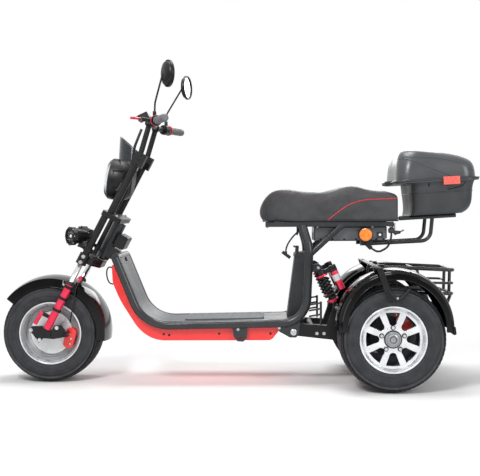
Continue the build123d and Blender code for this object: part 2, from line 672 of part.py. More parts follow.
def belly_pan():
    """Tray under the floor, open at the top."""
    line = floor_line(470)
    low = CROSS_TUBE_R + GAP
    start = Vector(*TUBE_TOP) + (Vector(*TUBE_FRONT_BEND) - Vector(*TUBE_TOP)).normalized() * 34
    upper = parallel([(start.X, start.Y), *line[1:]], low)
    nose = [(-360.2, 527), (-364.2, 448), (-397.2, 370), (-474.2, 248), (-540.2, BELLY_Z)]
    outer = [(AXIS_GROUND_X + x, z) for x, z in nose] + [(504, BELLY_Z), (470, 236)]
    outline = make_face(FilletPolyline(
        *upper, *reversed(outer), close=True,
        radius=[0, FRONT_BEND_R + low, 0, 12, 30, *reversed(TRAY_BENDS), 0]))
    hollow_low = parallel(outer, -BELLY_T)
    inside = [(upper[0].X - 40, upper[0].Y + 40), (AXIS_GROUND_X - 537.2, 300), (477 + BELLY_T, 300)]
    hollow = make_face(FilletPolyline(
        *inside, *reversed(hollow_low[1:-1]), close=True,
        radius=[0, 0, 0, 12, *(bend - BELLY_T for bend in reversed(TRAY_BENDS))]))
    half = MAIN_TUBE_Y - MAIN_TUBE_R - GAP
    pan = plate(outline, 0, 2 * half) - plate(hollow, 0, 2 * (half - BELLY_T))
    parts["belly_pan"] = pan


def head_cover():
    """Small housing behind the head tube."""
    cover = Pos(-50, 0, 736) * Box(48, 118, 62)
    cover = fillet(cover.edges().filter_by(Axis.Y), 9)
    cover -= Pos(0, 0, 736) * Cylinder(HEAD_TUBE_R + GAP, 80)
    parts["head_cover"] = STEER * cover


def battery_pack():
    """Upright battery between the seat tubes, with a cap and a carrying latch."""
    base = 288.5
    body = plate(polygon((434, base), (362, base), (338, 556), (398, 556)), 0, 150)
    body = fillet(body.edges().filter_by(lambda e: abs(e.tangent_at(0.5).Z) > 0.9), 12)
    cap = plate(polygon((401, 556), (337, 556), (336, 566), (344, 577), (390, 577), (400, 568)), 0, 156)
    handle = plate(polygon((394, 577), (380, 577), (378, 604), (402, 604), (402, 598), (392, 596)), 0, 70)
    parts["battery_pack"] = body + cap + handle


# ---------------------------------------------------------------- seat
def seat_cushion():
    """Two-person saddle, plain closed form."""
    bottom = RAIL_TOP + GAP
    top = Spline(
        (545, bottom + 8), (559, 752), (541, 810), (497, 852), (400, 853), (323, 843), (228, 855),
        (148, 873), (76, 853), (-20, 843), (-50, 833))
    side = make_face(Curve() + [
        top, Polyline((-50, 833), (-57, 822), (-57, bottom + 10), (-46, bottom), (530, bottom), (545, bottom + 8))])
    body = plate(side, 0, 2 * SEAT_HALF_W)
    plan = make_face(Curve() + [
        Spline((-70, SEAT_HALF_W - 12), (60, SEAT_HALF_W), (230, SEAT_HALF_W - 8), (420, SEAT_HALF_W - 12),
               (540, SEAT_NOSE_HALF_W - 40), (570, 0)),
        Spline((570, 0), (540, 40 - SEAT_NOSE_HALF_W), (420, 12 - SEAT_HALF_W), (230, 8 - SEAT_HALF_W),
               (60, -SEAT_HALF_W), (-70, 12 - SEAT_HALF_W)),
        Line((-70, 12 - SEAT_HALF_W), (-70, SEAT_HALF_W - 12)),
    ])
    parts["seat_cushion"] = body & (Pos(0, 0, bottom - 5) * extrude(plan, amount=250))


def controller_case():
    """Sheet case hung under the seat rails."""
    top = RAIL_TOP - RAIL_H - GAP
    outline = make_face(FilletPolyline(
        (314, top), (314, CASE_BOTTOM), (-6, CASE_BOTTOM), (-6, top), radius=[0, 6, 24, 6], close=True))
    case = plate(outline, 0, 200)
    parts["controller_case"] = case


def signal_lamps():
    """Round amber lamps beside the seat."""
    amber = round_boss(92, 134, 655, 31, 30) + round_boss(92, 100 + GAP + 10, 655, 9, 20)
    parts["signal_lamps"] = both(amber)


# ---------------------------------------------------------------- swing arm and axle
def swing_arm():
    outline = polygon(
        (424, 222), (414, 240), (378, 266), (214, 256), (60, 240), (40, 240), (40, 208),
        (60, 208), (220, 194), (386, 213), (412, 212))
    arm = plate(outline, ARM_Y, ARM_W)
    arm += round_boss(0, ARM_Y, REAR_AXLE_Z, AXLE_TUBE_R + 13, ARM_W)
    arm += Pos(30, ARM_Y, REAR_AXLE_Z) * Box(30, ARM_W, 32)
    for lug_y in (SHOCK_Y - 14, SHOCK_Y + 14):
        arm += plate(polygon(
            (262, 255), (232, 340), (224, 351), (212, 350), (206, 338), (186, 248)), lug_y, 5)
    arm += round_boss(SHOCK_BOTTOM[0], SHOCK_Y, SHOCK_BOTTOM[1], SHOCK_PIN_R, 36)
    body = arm + mirror(arm, about=Plane.XZ)
    body += cross_bar(PIVOT[0], PIVOT[1], 20, ARM_Y)
    body += cross_bar(330, 245, 16, ARM_Y)
    body -= cross_bar(PIVOT[0], PIVOT[1], PIVOT_R + RUNNING, 2 * ARM_Y)
    body -= cross_bar(0, REAR_AXLE_Z, AXLE_TUBE_R + GAP, 2 * ARM_Y)
    parts["swing_arm"] = body


def rear_axle():
    """Drive housing with its motor, the axle tubes, flanges and stub axles."""
    profile = make_face(Curve() + [
        Polyline((0, -REAR_TRACK / 2 - 78), (REAR_AXLE_R, -REAR_TRACK / 2 - 78), (REAR_AXLE_R, -AXLE_SLEEVE_Y),
                 (22, -AXLE_SLEEVE_Y), (22, -AXLE_FLANGE_Y), (AXLE_FLANGE_R, -AXLE_FLANGE_Y),
                 (AXLE_FLANGE_R, 10 - AXLE_FLANGE_Y), (AXLE_TUBE_R, 10 - AXLE_FLANGE_Y),
                 (AXLE_TUBE_R, -84), (60, -62)),
        ThreePointArc((60, -62), (DIFF_R, 0), (60, 62)),
        Polyline((60, 62), (AXLE_TUBE_R, 84), (AXLE_TUBE_R, AXLE_FLANGE_Y - 10),
                 (AXLE_FLANGE_R, AXLE_FLANGE_Y - 10), (AXLE_FLANGE_R, AXLE_FLANGE_Y),
                 (22, AXLE_FLANGE_Y), (22, AXLE_SLEEVE_Y), (REAR_AXLE_R, AXLE_SLEEVE_Y),
                 (REAR_AXLE_R, REAR_TRACK / 2 + 78), (0, REAR_TRACK / 2 + 78),
                 (0, -REAR_TRACK / 2 - 78)),
    ])
    axle = Pos(0, 0, REAR_AXLE_Z) * Rot(90, 0, 0) * revolve(Plane.XZ * profile, axis=Axis.Z)
    axle += Pos(95, 0, REAR_AXLE_Z + 6) * Rot(90, 0, 0) * Cylinder(72, 124)
    parts["rear_axle"] = axle


def rear_calipers():
    """Calipers at the rear discs with the plates that hold them to the axle."""
    disc_mid = REAR_TRACK / 2 - REAR_DISC_IN + DISC_T / 2
    slot = DISC_T + 2 * AIR
    body = caliper_body(74, 44, slot + 18, slot)
    turn = 135
    side = side_frame(0, disc_mid, REAR_AXLE_Z) * Rot(0, 0, turn) * Pos(83, 0, 0) * body
    inner = disc_mid - slot / 2 - 9
    arm = Rot(0, 0, turn) * extrude(
        Pos(44, 0, 0) * RectangleRounded(112, 56, 20), amount=4, both=True)
    side += side_frame(0, inner - 3.7, REAR_AXLE_Z) * arm
    side -= cross_bar(0, REAR_AXLE_Z, 22 + RUNNING, REAR_TRACK)
    parts["rear_calipers"] = both(side)


def dampers():
    """Rear dampers with coil springs and side reservoirs."""
    top = Vector(SHOCK_TOP[0], SHOCK_Y, SHOCK_TOP[1])
    low = Vector(SHOCK_BOTTOM[0], SHOCK_Y, SHOCK_BOTTOM[1])
    length = (top - low).length
    frame = Plane(origin=low, x_dir=(0, 1, 0), z_dir=(top - low).normalized())
    spring_low, spring_high = 40, length - 44
    body = Pos(0, 0, length / 2) * Cylinder(9, length - 20)
    body += Pos(0, 0, spring_low / 2 + 12) * Cylinder(14, spring_low - 24)
    body += Pos(0, 0, spring_low - 3 - GAP) * Cylinder(SPRING_R + 4, 6)
    body += Pos(0, 0, spring_high + 4 + GAP) * Cylinder(SPRING_R + 4, 8)
    body += Pos(0, 0, length - 28) * Cylinder(20, 24)
    for height in (0, length):
        body += Pos(0, 0, height) * Rot(0, 90, 0) * Cylinder(14, 20)
    body += Pos(0, 34, length - 28) * Box(26, 56, 20)
    body += Pos(0, 56, length - 72) * Cylinder(RESERVOIR_R, 112)
    for height in (0, length):
        body -= Pos(0, 0, height) * Rot(0, 90, 0) * Cylinder(SHOCK_PIN_R + RUNNING, 22)
    parts["dampers"] = both(frame * body)

    pitch = (spring_high - spring_low - 2 * SPRING_WIRE_R) / SPRING_TURNS
    coil = Helix(pitch=pitch, height=pitch * SPRING_TURNS, radius=SPRING_R)
    wire = sweep(Plane(origin=coil @ 0, z_dir=coil % 0) * RegularPolygon(SPRING_WIRE_R, 6), path=coil, is_frenet=True)
    parts["damper_springs"] = both(frame * Pos(0, 0, spring_low + SPRING_WIRE_R) * wire)


# ---------------------------------------------------------------- rear mudguards and carrier
def rear_mudguard(side, outward):
    """Arched shell with a stepped crown and a deep skirt on each side."""
    half = REAR_GUARD_HALF_W

    def section(inset, lip):
        crown, step, y = REAR_GUARD_R - inset, REAR_GUARD_STEP_R - inset, half - inset
        ledge = half - 16 - inset
        return make_face(Curve() + [
            ThreePointArc((step + 4, -ledge), (crown, 0), (step + 4, ledge)),
            Polyline((step + 4, ledge), (step - 3, ledge + 2), (step - 8, y), (lip, y),
                     (lip, -y), (step - 8, -y), (step - 3, -ledge - 2), (step + 4, -ledge)),
        ])
    profile = section(0, REAR_GUARD_LIP_R) - section(GUARD_T, REAR_GUARD_LIP_R - 1)
    start, end = REAR_GUARD_ARC
    shell = Rot(0, 0, start) * revolve(Plane.XZ * profile, axis=Axis.Z, revolution_arc=end - start)
    frame = side_frame(REAR_GUARD_CENTRE[0], outward * REAR_TRACK / 2, REAR_GUARD_CENTRE[1])
    parts["rear_mudguard_" + side] = frame * shell


def mudguard_stays():
    """Flat bar over both mudguards, on pads, with a leg down the outside of each."""
    outer = REAR_TRACK / 2 + REAR_GUARD_HALF_W + GAP + STAY_T / 2
    low = CARRIER_FRONT[1] + CARRIER_R + GAP
    stay = Pos(STAY_X, 0, low + STAY_T / 2) * Box(26, 2 * outer + STAY_T, STAY_T)
    crown = cross_bar(*REAR_GUARD_CENTRE, REAR_GUARD_R + GAP, outer)
    for side in (1, -1):
        stay += Pos(STAY_X - 26, side * CARRIER_Y, low + STAY_T / 2) * Box(48, 22, STAY_T)
        stay += Pos(STAY_X, side * REAR_TRACK / 2, low - 10) * Box(24, 40, 24) - crown
        stay += plate(polygon(
            (STAY_X + 13, low + STAY_T), (STAY_X - 13, low + STAY_T), (3, 396), (8, 384),
            (24, 384), (29, 396)), side * outer, STAY_T)
    parts["mudguard_stays"] = stay


def rear_carrier():
    """Open tube carrier behind the seat, standing on the axle clamps."""
    y, radius = CARRIER_Y, CARRIER_R
    front_x, front_z = CARRIER_FRONT
    rear_x, rear_z = CARRIER_REAR
    foot_z = REAR_AXLE_Z + 18
    side = tube([(front_x - 2, y, foot_z), (front_x, y, front_z), (-60, y, front_z - 1),
                 (rear_x, y, rear_z), (rear_x, 0, rear_z)], radius, [30, 200, 24])
    side += Pos(front_x - 2, y - 4, foot_z) * Box(18, 26, 4 - 2 * GAP)
    side += tube([(front_x, y, CARRIER_LOW + 10), (rear_x + 4, y, CARRIER_LOW), (rear_x + 4, 0, CARRIER_LOW)],
                 radius - 0.8, 24)
    side += tube([(rear_x + 6, y - 28, CARRIER_LOW), (-262, y - 28, 340), (-42, y, foot_z)], radius - 1, 30)
    side += tube([(rear_x + 1, 60, rear_z), (rear_x + 4, 60, CARRIER_LOW)], radius - 1)
    side += tube([(-130, y, 506), (-146, y, 446), (rear_x + 3, y, 442), (rear_x + 3, 56, 442)], 5.5, [14, 18])
    body = side + mirror(side, about=Plane.XZ)
    body += cross_bar(-125, (front_z + rear_z) / 2 - 1, radius - 1, y)
    body += cross_bar(40, front_z + 1, radius - 1, y)
    parts["rear_carrier"] = body


def box_plane():
    tilt = math.radians(BOX_TILT)
    return Plane(
        origin=(BOX_CENTRE[0], 0, BOX_CENTRE[1]),
        x_dir=(math.cos(tilt), 0, -math.sin(tilt)),
        z_dir=(math.sin(tilt), 0, math.cos(tilt)),
    )


BOX = box_plane()


def box_rack():
    """Bent tubes from the case up to the flat frame that the box stands on."""
    z_top = -BASE_DEPTH - GAP - RACK_R
    front, rear = 156, -92
    side = BOX * tube([(front, RACK_Y, z_top), (rear, RACK_Y, z_top)], RACK_R)
    upright = BOX.from_local_coords(Vector(10, RACK_Y, z_top))
    side += tube([(88, RACK_Y, 614), (-196, RACK_Y, 627), (upright.X, RACK_Y, upright.Z)], RACK_R - 0.6, 44)
    side += Pos(82, RACK_Y, CASE_BOTTOM - GAP - 10) * Box(56, 20, 20)
    body = side + mirror(side, about=Plane.XZ)
    for x in (front - 14, 30, rear + 14):
        body += BOX * (Pos(x, 0, z_top) * Rot(90, 0, 0) * Cylinder(RACK_R - 1, 2 * RACK_Y))
    body += BOX * (Pos(20, 0, -BASE_DEPTH - GAP - 5) * Box(190, 150, 10))
    parts["box_rack"] = body


def box_section(x, z, length, width, corner, tilt=0):
    """Rounded rectangle across the box at a height, tilted about Y."""
    return Pos(x, 0, z) * Rot(0, tilt, 0) * RectangleRounded(length, width, corner)


def box_base():
    """Lower half of the top box: a tapered tub with a rim and hinge lugs."""
    wall = BOX_WALL

    def tub(inset, floor):
        return loft([
            box_section(-1, floor, 224 - 2 * inset, 322 - 2 * inset, 44),
            box_section(-18, 20 - BASE_DEPTH, 244 - 2 * inset, 348 - 2 * inset, 48),
            box_section(-27, -58, 262 - 2 * inset, 374 - 2 * inset, 52),
            box_section(-32, -BOX_RIM_H, 276 - 2 * inset, 396 - 2 * inset, 56),
        ])
    base = tub(0, -BASE_DEPTH)
    base += Pos(0, 0, -BOX_RIM_H) * extrude(box_section(-4, 0, 366, 420, 62), amount=BOX_RIM_H)
    base -= tub(wall, wall - BASE_DEPTH)
    base -= Pos(0, 0, -BOX_RIM_H - 1) * extrude(
        box_section(-32, 0, 276 - 2 * wall, 396 - 2 * wall, 53), amount=BOX_RIM_H + 2)
    for y in (46, -46):
        base += Pos(HINGE_X - 10, y, -5.5) * Box(28, 10, 11)
        base += Pos(HINGE_X, y, 0) * Rot(90, 0, 0) * Cylinder(HINGE_PIN_R + 3, 10)
    base += Pos(HINGE_X, 0, 0) * Rot(90, 0, 0) * Cylinder(HINGE_PIN_R, 96)
    parts["box_base"] = BOX * base


def box_lid():
    """Upper half of the top box: a rounded shell that slopes down to the rear."""
    wall = BOX_WALL
    seam = 0.5

    def dome(inset, top):
        return loft([
            box_section(-1, seam, 342 - 2 * inset, 406 - 2 * inset, 60),
            box_section(-1, 52, 330 - 2 * inset, 398 - 2 * inset, 62, 1),
            box_section(2, 94 - inset, 300 - 2 * inset, 368 - 2 * inset, 68, -5),
            box_section(8, top, 226 - 2 * inset, 292 - 2 * inset, 70, -8),
        ])
    lid = dome(0, LID_TOP) - dome(wall, LID_TOP - wall)
    lid += Pos(HINGE_X, 0, 0) * Rot(90, 0, 0) * Cylinder(HINGE_PIN_R + 4, 76)
    lid += Pos(HINGE_X - 18, 0, 4) * Box(32, 76, 6)
    lid -= Pos(HINGE_X, 0, 0) * Rot(90, 0, 0) * Cylinder(HINGE_PIN_R + RUNNING, 80)
    parts["box_lid"] = BOX * lid


def box_reflectors():
    """Red reflectors on the sides of the base, near its rear corners."""
    lens = Pos(-58, 210 + GAP + 3, -9) * Box(70, 6, 34)
    parts["box_reflectors"] = BOX * both(lens)


# ---------------------------------------------------------------- leads and cables
def seat_lead():
    """Free lead that hangs from the rail by the seat tube, with an angled plug."""
    route = [(LEAD_X, LEAD_Y, GLAND_Z - GAP), (LEAD_X, LEAD_Y, 668), (404, LEAD_Y, 650),
             (423, LEAD_Y, 624), (435, LEAD_Y, 602), (438, LEAD_Y, 583)]
    parts["seat_lead"] = tube(route, LEAD_R, lead_radii(route))
    collar = Pos(438, LEAD_Y, 577.5) * Cylinder(6, 9)
    body = Pos(436, LEAD_Y, 566) * Rot(0, -37, 0) * Box(44, 17, 14)
    parts["seat_lead_plug"] = collar + body


def lead_radii(route):
    """Largest even bends that the runs on both sides of each point allow."""
    radii = []
    for before, place, after in zip(route, route[1:], route[2:]):
        run_in, run_out = Vector(*place) - Vector(*before), Vector(*after) - Vector(*place)
        turn = math.radians(run_in.get_angle(run_out))
        radii.append(0.45 * min(run_in.length, run_out.length) / math.tan(turn / 2))
    return radii


def rear_lead():
    """Lead from a clip under the left rail to a connector on the rack, held at both ends."""
    route = [(-24, 112, 679), (-24, 111, 640), (-10, 110, 599), (33, 109, 576), (66, 109, 596)]
    rail_low = RAIL_TOP - RAIL_H
    lead = tube(route, REAR_LEAD_R, lead_radii(route))
    lead += Pos(-24, 112, rail_low - GAP - 7) * Box(14, 14, 14)
    lead += Pos(76, RACK_Y + 10 + GAP + 9, 606) * Rot(0, 45, 0) * Box(18, 18, 34)
    parts["rear_lead"] = lead


def control_cables():
    """Cable bundle from the bar down ahead of the risers, and the brake hose."""
    bundle = [(-490.2, 70, 1130), (-458.2, 70, 1052), (-443.2, 77, 950), (-424.2, 74, 846), (-359.2, 60, 758)]
    hose = [(-251.2, 62, 518), (-232.2, 92, 480), (-197.2, 113, 430), (-179.2, 113, 330), (-160.2, 78, 268)]
    shapes = []
    for run, radius, bends in ((bundle, 6, [90, 200, 80]), (hose, 3, [30, 60, 60])):
        shapes.append(tube([(AXIS_GROUND_X + x, y, z) for x, y, z in run], radius, bends))
    parts["control_cables"] = Compound(children=[solid for shape in shapes for solid in shape.solids()])


# ---------------------------------------------------------------- whole vehicle
def build():
    front_wheel()
    rear_wheel("left", 1)
    rear_wheel("right", -1)
    fork_legs()
    fork_crown()
    axle_links()
    front_caliper()
    front_mudguard()
    handlebar()
    grips()
    levers()
    mirrors()
    headlight()
    windshield()
    fog_lights()
    main_frame()
    floor_deck()
    floor_mat()
    belly_pan()
    head_cover()
    battery_pack()
    seat_cushion()
    controller_case()
    signal_lamps()
    swing_arm()
    rear_axle()
    rear_calipers()
    dampers()
    rear_mudguard("left", 1)
    rear_mudguard("right", -1)
    mudguard_stays()
    rear_carrier()
    box_rack()
    box_base()
    box_lid()
    box_reflectors()
    seat_lead()
    rear_lead()
    control_cables()


build()
CORDS = ("seat_lead", "seat_lead_plug")
whole = Compound(children=[Compound(parts[name].wrapped) for name in parts if name not in CORDS])
bounds = whole.bounding_box()
shift = -(bounds.min.X + bounds.max.X) / 2
os.makedirs("parts", exist_ok=True)
for name, shape in parts.items():
    export_step(Pos(shift, 0, 0) * shape, os.path.join("parts", name + ".step"))
print("moved along X by", round(shift, 3), "size", bounds.size)
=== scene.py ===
"""Electric tricycle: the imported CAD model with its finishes, tyre tread, seat cover and small parts."""
import json
import math

import bmesh
import bpy
from mathutils import Matrix, Vector
from mathutils.bvhtree import BVHTree


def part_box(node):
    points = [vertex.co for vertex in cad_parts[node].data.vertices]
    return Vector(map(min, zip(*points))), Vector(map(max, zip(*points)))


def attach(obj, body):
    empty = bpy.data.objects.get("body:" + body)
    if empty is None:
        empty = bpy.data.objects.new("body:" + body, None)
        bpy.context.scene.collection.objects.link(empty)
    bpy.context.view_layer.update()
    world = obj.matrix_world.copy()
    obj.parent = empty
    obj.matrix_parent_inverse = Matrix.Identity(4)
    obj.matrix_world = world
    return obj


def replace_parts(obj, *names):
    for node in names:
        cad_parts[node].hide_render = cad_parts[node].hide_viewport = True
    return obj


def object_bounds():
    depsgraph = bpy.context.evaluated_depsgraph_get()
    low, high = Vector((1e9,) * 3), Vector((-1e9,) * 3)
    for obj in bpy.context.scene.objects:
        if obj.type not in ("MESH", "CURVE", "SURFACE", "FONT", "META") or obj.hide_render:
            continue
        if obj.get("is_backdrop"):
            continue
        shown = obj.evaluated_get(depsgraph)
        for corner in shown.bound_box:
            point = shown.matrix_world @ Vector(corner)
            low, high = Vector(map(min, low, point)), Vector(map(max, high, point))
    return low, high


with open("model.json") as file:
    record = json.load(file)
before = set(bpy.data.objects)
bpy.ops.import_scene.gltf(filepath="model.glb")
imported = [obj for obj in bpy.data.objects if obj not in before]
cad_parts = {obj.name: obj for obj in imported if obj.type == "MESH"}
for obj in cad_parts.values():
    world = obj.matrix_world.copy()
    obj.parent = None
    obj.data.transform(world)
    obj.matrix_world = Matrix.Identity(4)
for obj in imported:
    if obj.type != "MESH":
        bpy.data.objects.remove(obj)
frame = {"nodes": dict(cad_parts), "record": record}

cad_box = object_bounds()

# ------------------------------------------------------------------ studio
# A white floor that fades into a white room, lit by large soft lamps from above,
# from both sides of the camera and from behind. It isn't part of the tricycle.
CAMERA_PLACE = (-0.1404, 4.0, 0.7539)
PAN, DROP, ROLL = 1.785, 1.631, -0.372        # degrees, from a level view square to the left side
LENS = 66.19                                  # mm, on a sensor 36 mm wide
ROOM_LIGHT = 0.36                             # what the room gives as light, of what it shows the eye
FADE_START, FADE_END = 1.2, 2.6               # metres from the middle, where floor turns to room
FLOOR_HALF = 30.0


def linear(code):
    """An sRGB hex colour as linear red, green, blue and alpha."""
    values = [int(code[i:i + 2], 16) / 255 for i in (1, 3, 5)]
    return (*(v / 12.92 if v <= 0.04045 else ((v + 0.055) / 1.055) ** 2.4 for v in values), 1.0)


def add(tree, kind, sockets=None, **settings):
    """Adds a node. A socket's value is a number, a colour or the socket that feeds it."""
    made = tree.nodes.new(kind)
    for name, value in settings.items():
        setattr(made, name, value)
    for name, value in (sockets or {}).items():
        if isinstance(value, bpy.types.NodeSocket):
            tree.links.new(value, made.inputs[name])
        else:
            made.inputs[name].default_value = value
    return made


def empty_tree(owner):
    """The node tree of a material or a world, with nothing in it."""
    owner.use_nodes = True
    owner.node_tree.nodes.clear()
    return owner.node_tree


def in_scene(name, data):
    """A new object of the data, linked to the scene."""
    made = bpy.data.objects.new(name, data)
    bpy.context.scene.collection.objects.link(made)
    return made


camera = in_scene("camera", bpy.data.cameras.new("camera"))
camera.data.sensor_fit = "HORIZONTAL"
camera.data.sensor_width = 36
camera.data.lens = LENS
camera.matrix_world = (
    Matrix.Translation(CAMERA_PLACE)
    @ Matrix.Rotation(math.radians(180 + PAN), 4, "Z")
    @ Matrix.Rotation(math.radians(90 - DROP), 4, "X")
    @ Matrix.Rotation(math.radians(ROLL), 4, "Z")
)
bpy.context.scene.camera = camera
bpy.context.scene.view_settings.view_transform = "Standard"

room = bpy.data.worlds.new("room")
bpy.context.scene.world = room
tree = empty_tree(room)
path = add(tree, "ShaderNodeLightPath")
direct = add(tree, "ShaderNodeMath", {
    0: path.outputs["Is Camera Ray"], 1: path.outputs["Is Glossy Ray"]}, operation="MAXIMUM")
seen = add(tree, "ShaderNodeMath", {
    0: direct.outputs[0], 1: path.outputs["Is Transmission Ray"]}, operation="MAXIMUM")
strength = add(tree, "ShaderNodeMapRange", {"Value": seen.outputs[0], "To Min": ROOM_LIGHT, "To Max": 1.0})
background = add(tree, "ShaderNodeBackground", {"Color": linear("#ffffff"), "Strength": strength.outputs[0]})
add(tree, "ShaderNodeOutputWorld", {"Surface": background.outputs[0]})

# name, place and aim in metres, side of the square in metres, power in watts
for name, place, target, size, power in (
    ("lamp_key", (1.2, 3.0, 3.0), (0.0, 0.0, 0.5), 1.0, 95),
    ("lamp_fill", (-2.6, 2.6, 1.6), (-0.3, 0.0, 0.5), 1.4, 38),
    ("lamp_top", (0.0, -0.2, 3.4), (0.0, 0.0, 0.0), 1.5, 70),
    ("lamp_back", (-0.8, -3.2, 2.2), (0.0, 0.0, 0.5), 2.0, 45),
):
    lamp = in_scene(name, bpy.data.lights.new(name, "AREA"))
    lamp.data.shape = "SQUARE"
    lamp.data.size = size
    lamp.data.energy = power
    direction = Vector(target) - Vector(place)
    lamp.matrix_world = Matrix.Translation(place) @ direction.to_track_quat("-Z", "Y").to_matrix().to_4x4()

floor_mesh = bpy.data.meshes.new("studio_floor")
floor_mesh.from_pydata(
    [(x * FLOOR_HALF, y * FLOOR_HALF, 0.0) for x, y in ((-1, -1), (1, -1), (1, 1), (-1, 1))], [], [(0, 1, 2, 3)])
floor = in_scene("studio_floor", floor_mesh)
floor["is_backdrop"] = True
# matt white near the tricycle, where its shadow falls, and as white as the room far away
white_floor = bpy.data.materials.new("white_floor")
tree = empty_tree(white_floor)
place = add(tree, "ShaderNodeTexCoord")
distance = add(tree, "ShaderNodeVectorMath", {0: place.outputs["Object"]}, operation="LENGTH")
far = add(tree, "ShaderNodeMapRange", {
    "Value": distance.outputs["Value"], "From Min": FADE_START, "From Max": FADE_END})
path = add(tree, "ShaderNodeLightPath")
fade = add(tree, "ShaderNodeMath", {0: far.outputs[0], 1: path.outputs["Is Camera Ray"]}, operation="MULTIPLY")
matte = add(tree, "ShaderNodeBsdfDiffuse", {"Color": linear("#f2f2f2")})
glow = add(tree, "ShaderNodeEmission", {"Color": linear("#ffffff"), "Strength": 1.0})
mixed = add(tree, "ShaderNodeMixShader", {0: fade.outputs[0], 1: matte.outputs[0], 2: glow.outputs[0]})
add(tree, "ShaderNodeOutputMaterial", {"Surface": mixed.outputs[0]})
floor_mesh.materials.append(white_floor)

# ------------------------------------------------------------------ seat lead
# A thin rubber-sheathed lead that hangs from the rail by the seat tube and ends in an
# angled plug. It is moulded on the wires, and a tapered sleeve keeps it from kinking.
cad = frame["nodes"]
behaviour = frame["record"]["behaviour"]
body_of = {node: body for body, nodes in behaviour["bodies"].items() for node in nodes}
slot_of = {part["node"]: part["material_slot"] for part in frame["record"]["subparts"]}
joint_place = {joint["name"]: Vector(joint["pos_m"]) for joint in behaviour["joints"]}
axle_x = joint_place["rear_left_spin"].x


def at(x, y, z):
    """A place in metres, from millimetres ahead of the rear axle, to the left and up."""
    return Vector((axle_x + x / 1000, y / 1000, z / 1000))


def coating(name, colour, second, roughness, metallic=0.0, grain=0.8, depth=0.02, patch=70, coat=0.0,
            uneven=0.08, shine=0.5):
    """A finish whose colour and gloss drift over patch mm, with a relief depth mm deep and grain mm wide."""
    made = bpy.data.materials.new(name)
    tree = empty_tree(made)
    place = add(tree, "ShaderNodeTexCoord")
    drift = add(tree, "ShaderNodeTexNoise", {
        "Vector": place.outputs["Object"], "Scale": 1000 / patch, "Detail": 5.0})
    speck = add(tree, "ShaderNodeTexNoise", {
        "Vector": place.outputs["Object"], "Scale": 1000 / grain, "Detail": 2.0})
    share = add(tree, "ShaderNodeMapRange", {"Value": drift.outputs["Fac"], "From Min": 0.35, "From Max": 0.68})
    mixed = add(tree, "ShaderNodeMix", {
        0: share.outputs[0], 6: linear(colour), 7: linear(second)}, data_type="RGBA")
    gloss = add(tree, "ShaderNodeMapRange", {
        "Value": drift.outputs["Fac"], "From Min": 0.3, "From Max": 0.7,
        "To Min": max(roughness - uneven, 0.02), "To Max": roughness + uneven})
    relief = add(tree, "ShaderNodeBump", {
        "Height": speck.outputs["Fac"], "Strength": 0.6, "Distance": depth / 1000})
    skin = add(tree, "ShaderNodeBsdfPrincipled", {
        "Base Color": mixed.outputs[2], "Roughness": gloss.outputs[0], "Normal": relief.outputs[0],
        "Metallic": metallic, "Specular IOR Level": shine, "Coat Weight": coat, "Coat Roughness": 0.06})
    add(tree, "ShaderNodeOutputMaterial", {"Surface": skin.outputs[0]})
    return made


def shown(name, data, body, slot, *finishes):
    """Puts a mesh or a curve in the scene as a piece that moves with a body."""
    piece = in_scene(name, data)
    for finish in finishes:
        data.materials.append(finish)
    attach(piece, body)
    return piece


def plain(piece):
    """The piece's mesh as its modifiers leave it."""
    depsgraph = bpy.context.evaluated_depsgraph_get()
    mesh = bpy.data.meshes.new_from_object(piece.evaluated_get(depsgraph), depsgraph=depsgraph)
    mesh.name = piece.name
    return mesh


def settle(piece):
    """Makes what the piece's modifiers do its own mesh."""
    piece.data = plain(piece)
    piece.modifiers.clear()


def closed(shape, name, sharp=34):
    """The shape as a smooth-shaded mesh whose edges over sharp degrees stay crisp."""
    bmesh.ops.remove_doubles(shape, verts=shape.verts, dist=1e-6)
    bmesh.ops.recalc_face_normals(shape, faces=shape.faces)
    mesh = bpy.data.meshes.new(name)
    shape.to_mesh(mesh)
    shape.free()
    mesh.shade_smooth()
    mesh.set_sharp_from_angle(angle=math.radians(sharp))
    return mesh


def solid(name, shape, body, slot, finish, sharp=34):
    """Shows the shape as a piece of one finish."""
    return shown(name, closed(shape, name, sharp), body, slot, finish)


def dressed(node, *finishes, edge=0.0):
    """A copy of a CAD piece with its corners joined and, if edge is given in mm, rounded."""
    name = node + "_finish"
    shape = bmesh.new()
    shape.from_mesh(cad[node].data)
    bmesh.ops.remove_doubles(shape, verts=shape.verts, dist=2e-5)
    if edge:
        bmesh.ops.dissolve_limit(shape, angle_limit=math.radians(0.5), verts=shape.verts, edges=shape.edges)
    piece = shown(name, closed(shape, name), body_of[node], slot_of[node])
    if edge:
        rounding = piece.modifiers.new("rounded_edges", "BEVEL")
        rounding.width = edge / 1000
        rounding.segments = 2
        rounding.limit_method = "ANGLE"
        rounding.angle_limit = math.radians(40)
        piece.modifiers.new("even_normals", "WEIGHTED_NORMAL").keep_sharp = True
        settle(piece)
    piece.data.materials.clear()
    for finish in finishes:
        piece.data.materials.append(finish)
    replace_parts(piece, node)
    return piece


def turned(profile, steps, place=Matrix.Identity(4), into=None):
    """A solid of (radius, height) mm points turned about its own Z, set at a place."""
    shape = into or bmesh.new()
    rings = []
    for radius, height in profile:
        if radius == 0:
            rings.append([shape.verts.new(place @ Vector((0, 0, height / 1000)))])
            continue
        rings.append([shape.verts.new(place @ Vector((
            radius / 1000 * math.cos(math.tau * k / steps), radius / 1000 * math.sin(math.tau * k / steps),
            height / 1000))) for k in range(steps)])
    for low, high in zip(rings, rings[1:]):
        for k in range(steps):
            corners = [low[k % len(low)], low[(k + 1) % len(low)], high[(k + 1) % len(high)], high[k % len(high)]]
            shape.faces.new(list(dict.fromkeys(corners)))
    return shape


